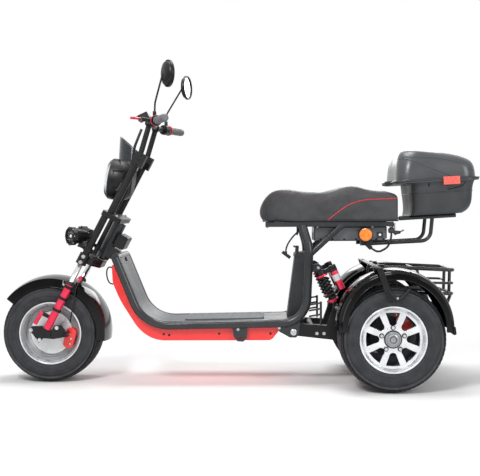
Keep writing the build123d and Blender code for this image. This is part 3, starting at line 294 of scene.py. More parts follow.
def looking(place, axis):
    """The matrix of something at a place whose Z points along an axis."""
    return Matrix.Translation(place) @ Vector(axis).to_track_quat("Z", "Y").to_matrix().to_4x4()


def curve_through(name, places, radius=0.0, steps=6, roundness=3, cyclic=False):
    """A smooth curve through the places, or a round wire of radius mm along it."""
    curve = bpy.data.curves.new(name, "CURVE")
    curve.dimensions = "3D"
    curve.resolution_u = steps
    curve.bevel_depth = radius / 1000
    curve.bevel_resolution = roundness
    curve.use_fill_caps = radius > 0
    run = curve.splines.new("NURBS")
    run.points.add(len(places) - 1)
    for point, place in zip(run.points, places):
        point.co = (*place, 1.0)
    run.use_cyclic_u = cyclic
    run.order_u = 3
    run.use_endpoint_u = not cyclic
    return curve


# moulded black rubber: soft, dull highlights
black_rubber = coating("moulded_black_rubber", "#17181a", "#232426", 0.55, grain=0.5, shine=0.35)
lead_route = [(383, 70, 679.7), (383, 70, 668), (404, 70, 650), (423, 70, 624), (435, 70, 602), (438, 70, 583)]
lead_curve = curve_through("seat_lead_line", [at(*place) for place in lead_route], 3.5, steps=12, roundness=4)
seat_lead = shown("seat_lead_line", lead_curve, "frame", "cable_rubber", black_rubber)
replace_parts(seat_lead, "seat_lead")
lead_plug = dressed("seat_lead_plug", black_rubber, edge=1.5)
sleeve = [(0, 0), (6.4, 0), (6.4, 4), (5.2, 6), (5.2, 9), (6.0, 10), (4.8, 12), (4.6, 20), (3.8, 24), (3.6, 28),
          (0, 28)]
solid("seat_lead_sleeve", turned(sleeve, 24, looking(at(383, 70, 681), (0.18, 0, -1))), "frame", "cable_rubber",
      black_rubber)

# ------------------------------------------------------------------ tyres
# Wide low tubeless tyres on all three wheels. The rubber is moulded with fine rings on
# its walls, and its tread is staggered rows of small blocks that wrap over the shoulders.
BLOCK_CORNERS = [(-8.5, -9.5), (8.5, -9.5), (8.5, 9.5), (-8.5, 9.5)]
BLOCK_TAPER = 0.84      # of a block's top, against its foot
GROOVE = 4.0            # depth of the tread
PITCH = 21.5            # from block to block round the tyre
ROWS = (-0.93, -0.8, -0.62, -0.4, -0.14, 0.14, 0.4, 0.62, 0.8, 0.93)      # as shares of the half width
SEAT_RADIUS = 140       # where the tyre meets its rim
SHOULDER = 2.6          # a higher power gives a flatter tread with tighter shoulders


def copies_tree():
    """Geometry Nodes that put the master on every point, turned by the point's "turn"."""
    tree = bpy.data.node_groups.new("copies_on_points", "GeometryNodeTree")
    for name, kind in (("Points", "Geometry"), ("Master", "Object"), ("Finish", "Material")):
        tree.interface.new_socket(name, in_out="INPUT", socket_type="NodeSocket" + kind)
    tree.interface.new_socket("Copies", in_out="OUTPUT", socket_type="NodeSocketGeometry")
    start = add(tree, "NodeGroupInput")
    master = add(tree, "GeometryNodeObjectInfo", {"Object": start.outputs["Master"]})
    turn = add(tree, "GeometryNodeInputNamedAttribute", {"Name": "turn"}, data_type="FLOAT_VECTOR")
    copies = add(tree, "GeometryNodeInstanceOnPoints", {
        "Points": start.outputs["Points"], "Instance": master.outputs["Geometry"],
        "Rotation": turn.outputs["Attribute"]})
    real = add(tree, "GeometryNodeRealizeInstances", {"Geometry": copies.outputs["Instances"]})
    finished = add(tree, "GeometryNodeSetMaterial", {
        "Geometry": real.outputs["Geometry"], "Material": start.outputs["Finish"]})
    add(tree, "NodeGroupOutput", {"Copies": finished.outputs["Geometry"]})
    return tree


copies = copies_tree()


def repeated(name, master_mesh, places, finish, body):
    """One piece made of the master mesh at each of the places, which are matrices."""
    spots = bpy.data.meshes.new(name)
    spots.from_pydata([place.to_translation() for place in places], [], [])
    turns = spots.attributes.new("turn", "FLOAT_VECTOR", "POINT")
    turns.data.foreach_set("vector", [angle for place in places for angle in place.to_euler("XYZ")])
    master = in_scene(name + "_master", master_mesh)
    piece = in_scene(name, spots)
    spread = piece.modifiers.new("copies", "NODES")
    spread.node_group = copies
    inputs = {item.name: item.identifier for item in copies.interface.items_tree if item.in_out == "INPUT"}
    spread[inputs["Master"]] = master
    spread[inputs["Finish"]] = finish
    settle(piece)
    bpy.data.objects.remove(master)
    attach(piece, body)


def crown(share, top, wall):
    """Radius of a tread at a share of its half width, top in the middle and wall at its edges."""
    return wall + (top - wall) * (1 - abs(share) ** SHOULDER) ** (1 / SHOULDER)


# tyre rubber: charcoal, dusty in patches, with hardly any shine
tyre_rubber = coating("dusty_tyre_rubber", "#232427", "#353639", 0.66, grain=1.2, depth=0.06, patch=45, shine=0.35)
# tread blocks are painted paler than the walls: a painted highlight, so that the blocks stand out
tread_rubber_painted_light = coating("scuffed_tread_rubber", "#2f3033", "#46474b", 0.72, grain=1.0, depth=0.05, patch=30,
                       shine=0.35)
block = bmesh.new()
low, high = ([block.verts.new((x * share / 1000, y * share / 1000, z)) for x, y in BLOCK_CORNERS]
             for share, z in ((1, -GROOVE / 1000), (BLOCK_TAPER, 0.0)))
block.faces.new(low)
block.faces.new(high)
for k in range(4):
    block.faces.new((low[k], low[(k + 1) % 4], high[(k + 1) % 4], high[k]))
block_mesh = closed(block, "tread_block")
for node, radius, width in (("front_tyre", 220, 202), ("rear_tyre_left", 224, 195), ("rear_tyre_right", 224, 195)):
    half = width / 2
    low_corner, high_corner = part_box(node)
    centre = Matrix.Translation((low_corner + high_corner) / 2) @ Matrix.Rotation(math.radians(-90), 4, "X")
    wall = SEAT_RADIUS + 0.42 * (radius - SEAT_RADIUS)
    tread = [(crown(share, radius - GROOVE, wall), share * half)
             for share in [math.sin(math.radians(angle)) for angle in range(-86, 87, 6)]]
    # the rings on the wall and the bead that sits in the rim: radius, and how far in from the half width
    side = [(min(r, wall - 2), half - inward) for r, inward in (
        (wall - 2, 0), (172, 0.6), (171, -0.1), (168, 0.2), (167, 1.4), (159, 3.2), (158, 2.4), (155, 3.0),
        (154, 4.4), (148, 6.2), (143, 9), (140.3, 14.5), (127.3, 24.5))]
    outline = [(r, -h) for r, h in reversed(side)] + tread + side
    carcass = turned(outline + outline[:1], 144, centre)
    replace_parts(solid(node + "_carcass", carcass, body_of[node], slot_of[node], tyre_rubber, 30), node)
    spots = []
    for row, share in enumerate(ROWS):
        r = crown(share, radius, wall)
        slope = math.atan2(crown(share + 0.01, radius, wall) - crown(share - 0.01, radius, wall), 0.02 * half)
        count = int(math.tau * radius / PITCH)
        for k in range(count):
            around = math.tau * (k + 0.5 * (row % 2)) / count
            spots.append(centre @ Matrix.Rotation(around, 4, "Z")
                         @ Matrix.Translation((r / 1000, 0, share * half / 1000))
                         @ Matrix.Rotation(math.radians(90) - slope, 4, "Y"))
    repeated(node + "_tread", block_mesh, spots, tread_rubber_painted_light, body_of[node])

# ------------------------------------------------------------------ wheels
# Cast aluminium wheels. The rear ones have eight windows, a machined silver face, five
# lug nuts and a ringed cap; the front one is a bright dish with its brake disc outside.
REAR_FACE = 0.066                               # metres from a rear wheel's middle to its outer face
BARREL_DEPTH, BARREL_RADIUS = 0.0545, 0.123     # what lies deeper and nearer the axle takes painted shade
LUG_CIRCLE = 0.0495
DISC_FACE, DISC_HOLE = 0.0575, 0.031            # of the front brake disc
DISH_HALF = 0.009                               # half the thickness of the front wheel's web
WASHER = 1.2                                    # mm thick


def refinished(piece, index, test):
    """Gives finish number index to the faces whose centre and normal pass the test."""
    for face in piece.data.polygons:
        if test(face.center, face.normal):
            face.material_index = index


def lug(across, height, washer=True):
    """A hexagon nut or bolt head, with its washer or without, its base at its own origin."""
    head = bmesh.new()
    start = 0
    if washer:
        start = WASHER
        turned([(0, 0), (across * 0.78, 0), (across * 0.78, WASHER), (0, WASHER)], 20, into=head)
    turned([(0, start), (across * 0.577, start), (across * 0.577, height - 0.8), (across * 0.5, height),
            (across * 0.3, height), (across * 0.24, height - 1.4), (0, height - 1.4)], 6, into=head)
    return closed(head, "hex_head", 20)


# machined and lacquered aluminium: bright, a little streaky
wheel_silver = coating("lacquered_cast_aluminium", "#d6d8da", "#e8eaec", 0.3, metallic=0.55, grain=0.4,
                       depth=0.006, patch=50)
# painted shade inside the barrel: dark and dull, so that the spokes stand out
barrel_painted_shade = coating("dusty_raw_casting", "#1d1e20", "#34353a", 0.6, metallic=0.3, grain=1.5, depth=0.08)
# zinc-plated steel of nuts and bolts: small bright glints
bright_steel = coating("bright_zinc_steel", "#b9bbbe", "#d3d5d7", 0.27, metallic=0.9, grain=0.35, depth=0.008,
                       patch=25)
# blackened steel: dark, with a faint metallic edge
black_steel = coating("blackened_steel", "#1a1b1d", "#2a2b2e", 0.4, metallic=0.6, grain=0.4, depth=0.01, patch=20)
# satin cap, a darker grey than the wheel: painted shade on its rings
cap_painted_grey = coating("satin_cap_lacquer", "#8f9194", "#a7a9ac", 0.34, metallic=0.6, grain=0.5, depth=0.01, patch=20)
# polished and lacquered dish: pale, with soft reflections
dish_silver = coating("polished_lacquered_dish", "#cfd1d3", "#dfe0e2", 0.34, metallic=0.25, grain=0.4,
                      depth=0.004, patch=60, uneven=0.05)
# ground disc: fine swirls in bright steel
disc_steel = coating("ground_disc_steel", "#b4b6b9", "#cfd1d3", 0.3, metallic=0.5, grain=0.35, depth=0.006,
                     patch=40, uneven=0.05)
for side, outward in (("left", 1), ("right", -1)):
    node = "rear_rim_" + side
    rim = dressed(node, wheel_silver, barrel_painted_shade, edge=0.9)
    middle = joint_place["rear_%s_spin" % side]
    # faces deep in the barrel and near the axle get the painted shade
    refinished(rim, 1, lambda place, _: (place.y - middle.y) * outward < BARREL_DEPTH
               and math.hypot(place.x - middle.x, place.z - middle.z) < BARREL_RADIUS)
    outer = looking(middle + Vector((0, outward * REAR_FACE, 0)), (0, outward, 0))
    cap = [(33, -2), (33, 5), (31, 7), (28, 7.5), (27, 5), (23.5, 5), (22.5, 10), (17, 12), (16, 9.5), (12.5, 9.5),
           (11.5, 13), (0, 14)]
    solid(node + "_cap", turned(cap, 48, outer), body_of[node], "wheel_silver", cap_painted_grey, 30)
    # a black ring at the cap's foot: painted shade round the cap
    cap_shade_ring = [(38, -1), (38, 0.8), (34, 1.2), (33, 0.4), (33, -1), (38, -1)]
    solid(node + "_cap_ring", turned(cap_shade_ring, 48, outer), body_of[node], "wheel_silver", black_steel, 30)
    # a black disc under each lug nut: painted shade in its well
    shaded_well = closed(turned([(0, -0.5), (10.5, -0.5), (10.5, 1.2), (8.6, 0.7), (0, 0.7)], 24), "lug_well")
    spots = [outer @ Matrix.Rotation(math.tau * (k + 0.25) / 5, 4, "Z") @ Matrix.Translation((LUG_CIRCLE, 0, 0))
             for k in range(5)]
    repeated(node + "_lug_wells", shaded_well, spots, black_steel, body_of[node])
    repeated(node + "_lugs", lug(13, 9, washer=False), spots, bright_steel, body_of[node])
front_rim = dressed("front_rim", dish_silver, disc_steel, edge=0.9)
front_middle = joint_place["front_wheel_spin"]
refinished(front_rim, 1, lambda place, _: place.y > DISC_FACE
           and math.hypot(place.x - front_middle.x, place.z - front_middle.z) > DISC_HOLE)
dish = [(109.5, 1), (109.5, 15), (118, 26), (119, 30), (117, 31), (112, 24), (107, 22), (105, 18), (96, 16),
        (93, 12), (84, 11), (80, 8), (62, 5), (44, 3), (40, 6), (33, 7), (31, 3), (31, 1), (109.5, 1)]
for side, name in ((1, "front_dish_left"), (-1, "front_dish_right")):
    outer = looking(front_middle + Vector((0, side * DISH_HALF, 0)), (0, side, 0))
    solid(name, turned(dish, 96, outer), "front_wheel", "wheel_silver", dish_silver, 30)

# ------------------------------------------------------------------ fork
# Telescopic fork: pinkish red anodised lower legs with dark bands and rubber wipers,
# chromed tubes, and a black crown. Dark steel plates carry the front axle.
BAND_HEIGHTS = (344, 402, 458)      # of the legs' dark bands, in mm up the fork
ARM_START, ARM_END = 0.0745, 0.1    # metres ahead of the axis: the black arm from leg to small damper
rake = math.radians(28)
fork_foot = at(1567.2, 0, 0)
steering = Matrix((
    (math.cos(rake), 0, -math.sin(rake), fork_foot.x), (0, 1, 0, 0),
    (math.sin(rake), 0, math.cos(rake), fork_foot.z), (0, 0, 0, 1)))


def steered(x, y, height):
    """A place from mm ahead of the steering axis, left, and up along it from the ground."""
    return steering @ Vector((x / 1000, y / 1000, height / 1000))


# anodised aluminium: saturated, with a silky metal sheen
red_anodised = coating("pinkish_red_anodising", "#e0274c", "#e83a5b", 0.32, metallic=0.45, grain=0.3, depth=0.005,
                       patch=35)
# hard-wearing satin black on brackets, clamps and pods: soft highlights on near black
satin_black = coating("satin_black_paint", "#0d0e0f", "#161618", 0.4, grain=0.7, depth=0.015, patch=40, shine=0.3)
# polished chromium: mirrors the room
chrome = coating("polished_chromium", "#d9dbde", "#e4e6e8", 0.1, metallic=1.0, grain=0.5, depth=0.002, uneven=0.03)
# enamel on calipers and the tray: a bright even red under a clear gloss
signal_red = coating("bright_red_enamel", "#e5201f", "#ec2a26", 0.34, grain=0.9, depth=0.008, patch=80, coat=0.5)
sliders = dressed("fork_sliders", red_anodised, satin_black, edge=0.7)
to_fork = steering.inverted()


def in_band_or_arm(place, _):
    """Whether a face of a leg lies in a dark band or in the arm of its small damper."""
    spot = to_fork @ place
    return ARM_START < spot.x < ARM_END or any(abs(spot.z - height / 1000) < 0.0075 for height in BAND_HEIGHTS)


refinished(sliders, 1, in_band_or_arm)
dressed("fork_stanchions", chrome)
dressed("fork_crown", satin_black, edge=1.2)
dressed("axle_links", satin_black, edge=1.5)
dressed("front_caliper", signal_red, edge=2.5)
across_left = Matrix.Rotation(math.radians(-90), 4, "X")
wipers, heads = bmesh.new(), []
for side in (1, -1):
    turned([(12.7, 0), (21, 0), (21.5, 3), (19.5, 6), (19, 10), (14.5, 15), (12.7, 15), (12.7, 0)], 32,
           steering @ Matrix.Translation((0.055, side * 0.125, 0.4705)), wipers)
    outwards = across_left if side > 0 else across_left.inverted()
    for x, z in ((1551, 196), (1532, 196), (1455, 250), (1570, 240)):
        heads.append(Matrix.Translation(at(x, side * 131, z)) @ outwards)
    for height in (584, 612):
        heads.append(looking(steered(55, side * 148.6, height), (0, side, 0)))
    for x in (10, 60):
        heads.append(looking(steered(x, side * 125, 834.2), (-math.sin(rake), 0, math.cos(rake))))
solid("fork_wipers", wipers, "steering", "cable_rubber", black_rubber)
repeated("fork_bolts", lug(11, 6), heads, bright_steel, "steering")
heads = [Matrix.Translation(at(x, 77.4, z)) @ across_left for x, z in ((1409, 215), (1403, 194), (1408, 171))]
repeated("front_caliper_bolts", lug(8, 3.5, washer=False), heads, bright_steel, "steering")

# ------------------------------------------------------------------ front mudguard
# A deep pressed steel guard in gloss black. Its open edge is rolled over a wire, and
# two dark brackets hold it to the fork legs.


def line_of(name, points, radius, finish, body, slot, cyclic=False):
    """A round wire, tube or bead along a smooth line through the points, as a mesh."""
    guide = in_scene(name, curve_through(name, points, radius, cyclic=cyclic))
    mesh = plain(guide)
    bpy.data.objects.remove(guide)
    mesh.shade_smooth()
    shown(name, mesh, body, slot, finish)


def arc_points(middle, radius, y, start, end, count=28):
    """Places along an arc in a plane across Y, from straight ahead and over the top."""
    angles = [math.radians(start + (end - start) * k / count) for k in range(count + 1)]
    return [middle + Vector((radius / 1000 * math.cos(angle), y / 1000, radius / 1000 * math.sin(angle)))
            for angle in angles]


# stoved black enamel: near black, with long sharp reflections
gloss_black = coating("deep_gloss_black_enamel", "#030304", "#060608", 0.1, grain=2.5, depth=0.006, patch=90,
                      uneven=0.03, shine=0.26)
dressed("front_mudguard", gloss_black)
for side, name in ((1, "front_guard_bead_left"), (-1, "front_guard_bead_right")):
    line_of(name, arc_points(front_middle, 208.5, side * 96.8, 39.5, 187.5), 2.6, gloss_black, "steering",
            "black_gloss")

# ------------------------------------------------------------------ handlebar
# Risers and a bent bar in satin black, switch pods and a small tilted display. The
# grips are ribbed grey rubber and the brake levers are red anodised aluminium.
BAR_END, BAR_BEND = at(942, 345, 1150), at(1036, 135, 1150)
RIDGE_START, RIDGE_STEP, RIDGES = 0.004, 0.0062, 17      # along each grip, in metres from the bar's end
COLLAR_REACH, POD_RADIUS = 0.121, 0.0225                 # of the switch pods


def mirrored(place, side):
    """The place on the left, or its twin on the right where side is -1."""
    return Vector((place.x, side * place.y, place.z))


def add_box(shape, place, x, y, z):
    """Adds a box of x, y and z mm to the shape, its middle at the place, which is a matrix."""
    bmesh.ops.create_cube(shape, size=1.0, matrix=place @ Matrix.Diagonal((x / 1000, y / 1000, z / 1000, 1)))


def ease(shape, radius):
    """Rounds the shape's edges by radius mm."""
    bmesh.ops.bevel(shape, geom=shape.edges[:], offset=radius / 1000, segments=2, affect="EDGES")


# ribbed grip rubber: mid grey and dull
grey_grip = coating("grey_grip_rubber", "#5f6165", "#6e7074", 0.6, grain=0.6, depth=0.05, patch=20)
# moulded red plastic of the switches: a little darker and duller than the anodising
pod_red = coating("red_switch_plastic", "#c8202c", "#d42a34", 0.4, grain=0.5, patch=15)
# tinted window over an unlit display: nearly black, with one sharp highlight
display_glass = coating("smoked_display_glass", "#2b1f1a", "#3a2b24", 0.12, grain=3, depth=0.002, coat=0.8,
                        uneven=0.03)
dressed("handlebar", satin_black, edge=1.2)
dressed("grips", grey_grip)
dressed("brake_levers", red_anodised)
ridge = closed(turned([(15.6, -1.6), (16.8, -0.9), (16.8, 0.9), (15.6, 1.6), (15.6, -1.6)], 32), "grip_ridge")
collar = closed(turned([(23.2, -4), (24.2, -3), (24.2, 3), (23.2, 4), (23.2, -4)], 32), "pod_collar")
button = closed(turned([(0, 0), (5.2, 0), (5.2, 2.6), (4.4, 3.4), (0, 3.0)], 20), "switch_button")
ridges, collars, buttons = [], [], []
for side in (1, -1):
    end = mirrored(BAR_END, side)
    along = (mirrored(BAR_BEND, side) - end).normalized()
    ridges += [looking(end + along * (RIDGE_START + RIDGE_STEP * k), along) for k in range(RIDGES)]
    collars.append(looking(end + along * COLLAR_REACH, along))
    for reach, outwards in ((0.134, (-0.8, 0, 0.6)), (0.146, (-0.95, 0, -0.3)), (0.152, (-0.8, 0, 0.6))):
        buttons.append(looking(end + along * reach + Vector(outwards) * POD_RADIUS, outwards))
repeated("grip_ridges", ridge, ridges, grey_grip, "steering")
repeated("pod_collars", collar, collars, pod_red, "steering")
repeated("switch_buttons", button, buttons, pod_red, "steering")
screen = bmesh.new()
add_box(screen, Matrix.Translation(at(1076, 0, 1190)) @ Matrix.Rotation(math.radians(24), 4, "Y")
        @ Matrix.Translation((-0.002, 0, 0.0128)), 42, 74, 2.4)
ease(screen, 0.9)
solid("display_window", screen, "steering", "lens_clear", display_glass)
heads = [looking(at(1036 + dx, side * (111 + dy), 1150) + Vector((0, 0, 0.0175)), (0, 0, 1))
         for side in (1, -1) for dx in (-7, 7) for dy in (-10, 10)]
heads += [looking(steered(38, side * 133.1, height), (0, side, 0))
          for side in (1, -1) for height in (1080, 1102, 1124)]
repeated("bar_clamp_bolts", lug(7, 5, washer=False), heads, black_steel, "steering")

# ------------------------------------------------------------------ mirrors
# Round mirrors in shallow moulded bowls with a raised hoop round the glass. They stand
# on thin bent steel stems that are clamped to the bar beside the grips.
STEM_SHARE = 142 / 230.08      # of the way from the bar's end to its bend

# silvered glass: shows the room with no blur
mirror_face = coating("silvered_mirror_glass", "#e9ebee", "#f1f2f4", 0.03, metallic=1.0, grain=5, depth=0.0005,
                      uneven=0.01)
dressed("mirrors", satin_black)
dressed("mirror_glass", mirror_face, edge=0.5)
hoop = [(47.6, 6.3), (48.2, 9.0), (50.0, 10.6), (55.6, 11.0), (57.2, 9.0), (57.2, 0.0), (54.8, -1.4), (54.4, 6.0),
        (47.6, 6.3)]
hoops = bmesh.new()
for side, x, z, inwards in ((1, 937, 1343, 0.55), (-1, 908, 1360, 0.27)):
    knee = mirrored(BAR_END, side).lerp(mirrored(BAR_BEND, side), STEM_SHARE)
    head = Vector((at(x, 0, z).x, knee.y + side * 0.064, z / 1000))
    turned(hoop, 64, looking(head, (-1, -inwards * side, 0.02)), hoops)
solid("mirror_hoops", hoops, "steering", "black_gloss", satin_black, 40)

# ------------------------------------------------------------------ headlight and screen
# An oval shell with a chromed reflector behind a clear domed lens, and a small smoked
# screen wrapped above it.
BOWL_FLOOR = 0.033              # metres ahead of the lamp's middle
SHELL_HALF = 0.0795             # half the shell's width
PANEL_BAR = 4                   # mm, of the raised frames on the shell's sides


def clear_glass(name, colour, roughness):
    """Clear or tinted plastic that light passes through, with faint unevenness."""
    made = bpy.data.materials.new(name)
    tree = empty_tree(made)
    place = add(tree, "ShaderNodeTexCoord")
    wave = add(tree, "ShaderNodeTexNoise", {"Vector": place.outputs["Object"], "Scale": 40.0, "Detail": 2.0})
    gloss = add(tree, "ShaderNodeMapRange", {
        "Value": wave.outputs["Fac"], "To Min": roughness, "To Max": roughness + 0.06})
    relief = add(tree, "ShaderNodeBump", {"Height": wave.outputs["Fac"], "Strength": 0.15, "Distance": 0.0005})
    skin = add(tree, "ShaderNodeBsdfPrincipled", {
        "Roughness": gloss.outputs[0], "Normal": relief.outputs[0], "Base Color": linear(colour),
        "Transmission Weight": 1.0, "IOR": 1.49})
    add(tree, "ShaderNodeOutputMaterial", {"Surface": skin.outputs[0]})
    return made


# moulded polycarbonate lens: clear, with a faint ripple in its reflections
clear_lens = clear_glass("clear_polycarbonate", "#f4f7fa", 0.02)
# bent acrylic sheet: dark grey where it is seen through
smoked_screen = clear_glass("smoked_acrylic", "#55585e", 0.05)
lamp = dressed("headlight", satin_black, chrome, edge=1.2)
lamp_middle = at(1168, 0, 903)
lamp_axis = Vector((math.cos(math.radians(10)), 0, math.sin(math.radians(10))))


def in_reflector(place, normal):
    """Whether a face of the shell lies in its bowl and looks forward and inwards."""
    offset = place - lamp_middle
    ahead = offset.dot(lamp_axis)
    return ahead > BOWL_FLOOR and normal.dot(offset - lamp_axis * ahead) < 0.0 and normal.dot(lamp_axis) > 0.05


refinished(lamp, 1, in_reflector)
dressed("headlight_lens", clear_lens)
dressed("windshield", smoked_screen)
bulb = [(0, 0), (16, 0), (16, 5), (9, 8), (9, 20), (11, 22), (10, 27), (0, 30)]
solid("headlight_bulb", turned(bulb, 32, looking(lamp_middle + lamp_axis * 0.034, lamp_axis)), "steering",
      "chromed", bright_steel)
panels = bmesh.new()
for side in (1, -1):
    for height, long, high in ((26, 46, 28), (-22, 50, 34)):
        place = looking(lamp_middle + lamp_axis * 0.014 + Vector((0, side * SHELL_HALF, height / 1000)), (0, side, 0))
        for x, y, wide, tall in (
            (0, -high / 2, long + PANEL_BAR, PANEL_BAR), (long / 2, 0, PANEL_BAR, high + PANEL_BAR),
            (0, high / 2, long + PANEL_BAR, PANEL_BAR), (-long / 2, 0, PANEL_BAR, high + PANEL_BAR),
        ):
            add_box(panels, place @ Matrix.Translation((x / 1000, y / 1000, 0)), wide, tall, 5)
solid("headlight_panel_lines", panels, "steering", "black_gloss", satin_black)

# ------------------------------------------------------------------ fog lamps
# Two eight-sided cast lamps on a bar between the fork tubes. Each has a bezel held by
# eight screws, a clear lens and one large capped LED in the middle.
LAMP_FRONT, SCREW_CIRCLE = 0.018, 0.0412      # metres, to the bezel's foot and its screws
dressed("fog_lights", satin_black, edge=1.2)
dressed("fog_lenses", clear_lens, edge=0.6)
# moulded cap of an LED: milky white and glossy
led_white = coating("white_led_cap", "#e8eaec", "#f4f5f6", 0.2, grain=1, depth=0.004, patch=8, coat=0.6)
bezels = bmesh.new()
leds, heads = [], []
for side in (1, -1):
    axis = Vector((0.74, side * 0.67, 0))
    front = looking(at(1378, side * 112, 656) + axis.normalized() * LAMP_FRONT, axis)
    turned([(31, -3), (31, 3), (33, 4.5), (37, 4.5), (39, 2.5), (39, -3), (31, -3)], 48, front, bezels)
    turned([(0, -12), (9, -12), (9, -9.5), (7, -8.5), (0, -8.2)], 24, front, bezels)
    heads += [front @ Matrix.Rotation(math.tau * k / 8, 4, "Z") @ Matrix.Translation((SCREW_CIRCLE, 0, 0))
              for k in range(8)]
    leds.append(front @ Matrix.Translation((0, 0, -0.0045)))
solid("fog_bezels", bezels, "steering", "black_plastic", satin_black)
repeated("fog_bezel_screws", lug(4.6, 2.6, washer=False), heads, bright_steel, "steering")
led = closed(turned([(0, 0), (7.5, 0), (7.5, 2), (5.4, 4.4), (0, 5.2)], 20), "led")
repeated("fog_leds", led, leds, led_white, "steering")

# ------------------------------------------------------------------ frame
# Bent and welded steel tube in gloss dark grey: the twin main tubes, seat rails, struts
# and brackets. A pressed floor lies between the tubes under a ribbed rubber mat.

# baked powder coat: dark grey, glossy, with a slight orange peel
frame_grey = coating("gloss_dark_grey_powder_coat", "#27292b", "#313336", 0.24, grain=1.6, patch=120, shine=0.4)
# sprayed floor paint: mid grey and satin
floor_grey = coating("satin_grey_floor_paint", "#3f4145", "#4d4f53", 0.44, grain=1.2, depth=0.03, patch=90,
                     shine=0.4)
# rubber mat with road dust in it: pale and quite matt
mat_grey = coating("dusty_grey_rubber_mat", "#5d5f63", "#6c6e72", 0.68, grain=0.9, depth=0.06, patch=60, shine=0.3)
dressed("main_frame", frame_grey, edge=0.8)
dressed("head_cover", satin_black, edge=1.0)
dressed("floor_deck", floor_grey, edge=0.7)
dressed("belly_pan", signal_red, edge=0.8)
dressed("floor_mat", mat_grey, edge=0.8)
pan_heads, frame_heads, pivots = [], [], bmesh.new()
for side in (1, -1):
    for x, z in ((979, 221), (955, 217), (734, 223), (508, 223)):
        pan_heads.append(looking(at(x, side * 131.2, z), (0, side, 0)))
    for x, y, z in ((446, 153.6, 276), (402, 153.6, 290), (470, 153.6, 250), (650, 154.1, 244), (298, 144.1, 512)):
        frame_heads.append(looking(at(x, side * y, z), (0, side, 0)))
    for x in (520, 300, 200, 60, -20):
        frame_heads.append(looking(at(x, side * 120, 690.9), (0, 0, -1)))
    turned([(0, 0), (14, 0), (14, 3), (12, 4.5), (6, 5), (5, 3.6), (0, 3.6)], 32,
           looking(at(407, side * 153.1, 231), (0, side, 0)), pivots)
repeated("tray_screws", lug(6.5, 2.4), pan_heads, black_steel, "frame")
repeated("frame_bolts", lug(8, 4.5), frame_heads, bright_steel, "frame")
solid("pivot_caps", pivots, "frame", "chromed", bright_steel)
hook = [(1205, 112, 512), (1216, 122, 522), (1231, 126, 508), (1229, 126, 466), (1212, 122, 438), (1190, 112, 446)]
for side, name in ((1, "bag_hook_left"), (-1, "bag_hook_right")):
    line_of(name, [at(x, side * y, z) for x, y, z in hook], 3.0, black_steel, "frame", "chromed")

# ------------------------------------------------------------------ battery and controller
# An upright battery in black plastic with a cap and a carrying latch, and a grey sheet
# case under the rails with folded flanges, screws and a small status lamp.

# moulded plastic with a spark-eroded grain: charcoal, with broken highlights
grained_plastic = coating("grained_black_plastic", "#2a2b2e", "#35363a", 0.48, grain=0.9, depth=0.05, shine=0.35)
# sprayed sheet steel: even mid grey under a thin clear coat
case_grey = coating("smooth_grey_paint", "#515357", "#5d5f63", 0.4, grain=0.9, depth=0.012, patch=90, coat=0.3)
dressed("battery_pack", grained_plastic, edge=2.0)
dressed("controller_case", case_grey, edge=2.0)
heads, lips, status = [], bmesh.new(), bmesh.new()
for side in (1, -1):
    for x in (285, 233, 181, 129, 40, 8):
        heads.append(looking(at(x, side * 100.1, 634.5), (0, side, 0)))
    for x, z, long, high in ((154, 630, 300, 3.0), (154, 687, 318, 3.0), (311.5, 660, 3.0, 56), (-4, 662, 3.0, 50)):
        add_box(lips, Matrix.Translation(at(x, side * 100.6, z)), long, 2.4, high)
repeated("case_screws", lug(6, 3), heads, black_steel, "frame")
solid("case_flanges", lips, "frame", "case_grey", satin_black)
add_box(status, Matrix.Translation(at(25, 103.2, 654)), 26, 6, 26)
ease(status, 1.5)
solid("status_lamp_case", status, "frame", "black_plastic", grained_plastic)
bead = turned([(0, 0), (5.5, 0), (5.5, 1.5), (3.5, 3), (0, 3.4)], 24, looking(at(25, 106.0, 654), (0, 1, 0)))
solid("status_lamp", bead, "frame", "lens_clear", led_white)

# ------------------------------------------------------------------ signal lamps
# Round amber lamps at both sides, below the seat. A moulded lens with stepped rings is
# pressed into a dark rubber surround.

# moulded amber acrylic: deep orange with a wet gloss
amber = coating("ringed_amber_lens", "#f57a0a", "#ff8f1c", 0.25, grain=1.2, depth=0.03, patch=18, coat=0.8)
dressed("signal_lamps", black_rubber, edge=1.5)
lenses = bmesh.new()
for side in (1, -1):
    turned([(0, -1), (27.5, -1), (27.5, 2.5), (25, 5), (20, 6), (19.4, 5.4), (18.8, 6.2), (12, 7.2), (11.4, 6.6),
            (10.8, 7.4), (0, 8)], 48, looking(at(92, side * 149, 655), (0, side, 0)), lenses)
solid("amber_lenses", lenses, "frame", "lamp_amber", amber, 20)

# ------------------------------------------------------------------ seat
# Two-person seat: foam under black grained leather cloth, one skin pulled over the pan.
# Red piping runs up each side, and dark red twin stitching follows the edge of the top.
DRAWN_IN = (0.985, 0.965, 0.97)      # length, width and height of the foam before it swells
SKIN_STEP = 0.0065                   # metres between the skin's points
HELD_EDGE = 0.012                    # metres of skin stapled round the pan
SWELL_LIMIT = 0.004                  # metres
SWELL_FRAMES = 20
SEAT_GRAIN = 620.0                   # cells to the metre, so 1.6 mm each: a little coarse, so that they show


